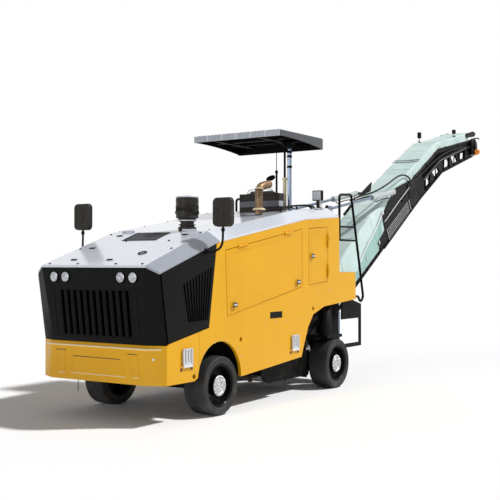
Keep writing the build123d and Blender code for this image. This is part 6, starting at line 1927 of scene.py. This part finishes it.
RECESSES = [
    [(-0.335, 0.687), (0.329, 0.683), (0.408, 0.506), (-0.367, 0.505)],
    [(-0.587, 0.746), (-0.446, 0.749), (-0.466, 0.502), (-0.556, 0.499)],
    [(0.431, 0.745), (0.562, 0.743), (0.599, 0.505), (0.510, 0.508)],
]
recess_rims = Form()
for outline in RECESSES:
    corners = outline + outline[:1]
    for edge_of, ((ya, za), (yb, zb)) in enumerate(zip(corners, corners[1:])):
        line = []
        for k in range(7):
            place, normal = on_bumper(ya + (yb - ya) * k / 6, za + (zb - za) * k / 6)
            line.append(place + normal * 0.0006)
        # The top edges get a dark line of rusty steel, the sides yellow, and the lower edges cream as a painted
        # highlight.
        recess_rims.tube(line, 0.0045 if edge_of in (0, 2) else 0.0026, (0, 1, 2, 1)[edge_of], 6)
recess_rims.done("bumper_recess_rims", "chassis", "yellow_paint", RUSTY, YELLOW, CREAM_AND_HIGHLIGHT)
# A cream tube along the ledge's top edge paints the highlight of the lit ledge.
ledge_highlight = Form()
ledge_highlight.tube([on_bumper(-0.820 + 1.640 * k / 32, 0.800)[0] + Vector((0.004, 0, 0.003)) for k in range(33)],
               0.0085, 0, 8)
ledge_highlight.done("bumper_ledge_lip", "chassis", "yellow_paint", CREAM_AND_HIGHLIGHT)
strap = Form()
strap_x = on_bumper(-0.275, 0.450)[0].x
for k in range(8):
    z = 0.455 - k * 0.018
    strap.block((strap_x - 0.016, -0.281, z - 0.013), (strap_x - 0.010, -0.269, z), 0, 0.002, 1)
strap.block((strap_x - 0.014, -0.277, 0.318), (strap_x - 0.012, -0.273, 0.455), 0, 0)
strap.done("bumper_strap", "chassis", "hose_rubber", HOSE)
print(len(RECESSES), "recesses on the bumper")

# %% Bolts at the bumper's ends
corner_bolts = [on_bumper(y, 0.700) for y in (-0.745, 0.745)]
repeated("bumper_bolts", BOLT, corner_bolts, "chassis", "bare_steel", STEEL, size=1.1)
print(len(corner_bolts), "bolts on the bumper")

# %% [markdown]
# ## Milling drum, rear end and what shows under the body
# The drum's picks are turned once and set out in two helices by Geometry Nodes, beside the flights that carry the
# millings to the middle. Behind the rear legs stands a chrome rod on each side.

# %% Drum picks in two helices
DRUM_X, DRUM_Z, DRUM_CORE, DRUM_WIDTH = at(-1.900), 0.600, 0.400, 1.000
PICK = stud("drum_pick", [(-0.010, 0.020), (0.018, 0.021), (0.024, 0.0165), (0.046, 0.014), (0.048, 0.0095),
                          (0.066, 0.0060), (0.070, 0.0)], 12)
pick_places = []
PICK_COUNT = 108
for k in range(PICK_COUNT):
    share = (k + 0.5) / PICK_COUNT
    y = (share - 0.5) * (DRUM_WIDTH - 0.05)
    turn = abs(share - 0.5) * 2 * math.pi * 2.2 + (math.pi * (k % 2)) + (k % 3) * 0.9
    out = spoke(turn, AXIS_X, AXIS_Z)
    lean = (out + spoke(turn, AXIS_Z, -AXIS_X) * 0.55).normalized()
    pick_places.append((Vector((DRUM_X, y, DRUM_Z)) + out * (DRUM_CORE - 0.004), lean))
repeated("drum_picks", PICK, pick_places, "drum", "drum_steel", DRUM_STEEL)
flights = Form()
for half in (-1, 1):
    for start in (0.0, math.pi):
        rings = []
        for k in range(40):
            share = k / 39
            y = half * share * (DRUM_WIDTH / 2 - 0.02)
            turn = start + share * 2 * math.pi * 1.1
            base = Vector((DRUM_X, y, DRUM_Z))
            foot, tip = (base + spoke(turn, AXIS_X, AXIS_Z) * (DRUM_CORE + rise) for rise in (-0.006, 0.030))
            rings.append([foot - AXIS_Y * 0.007, tip - AXIS_Y * 0.006, tip + AXIS_Y * 0.006, foot + AXIS_Y * 0.007])
        flights.skin(rings, 0)
flights.done("drum_flights", "drum", "drum_steel", DRUM_STEEL)
print(PICK_COUNT, "picks on the drum")

# %% Rear end: a rod beside the frame on each side
rear = Form()
for side in (1, -1):
    rear.tube([(at(-2.905), side * 0.800, z) for z in (1.02, 0.62)], 0.016, 0, 16)
rear.done("rear_rods", "chassis", "rod_chrome", CHROME)
print("rear rods on both sides")

# %% [markdown]
# ## The end
# The small parts that only Geometry Nodes used leave the scene.

for part in TEMPLATES:
    bpy.data.objects.remove(part)
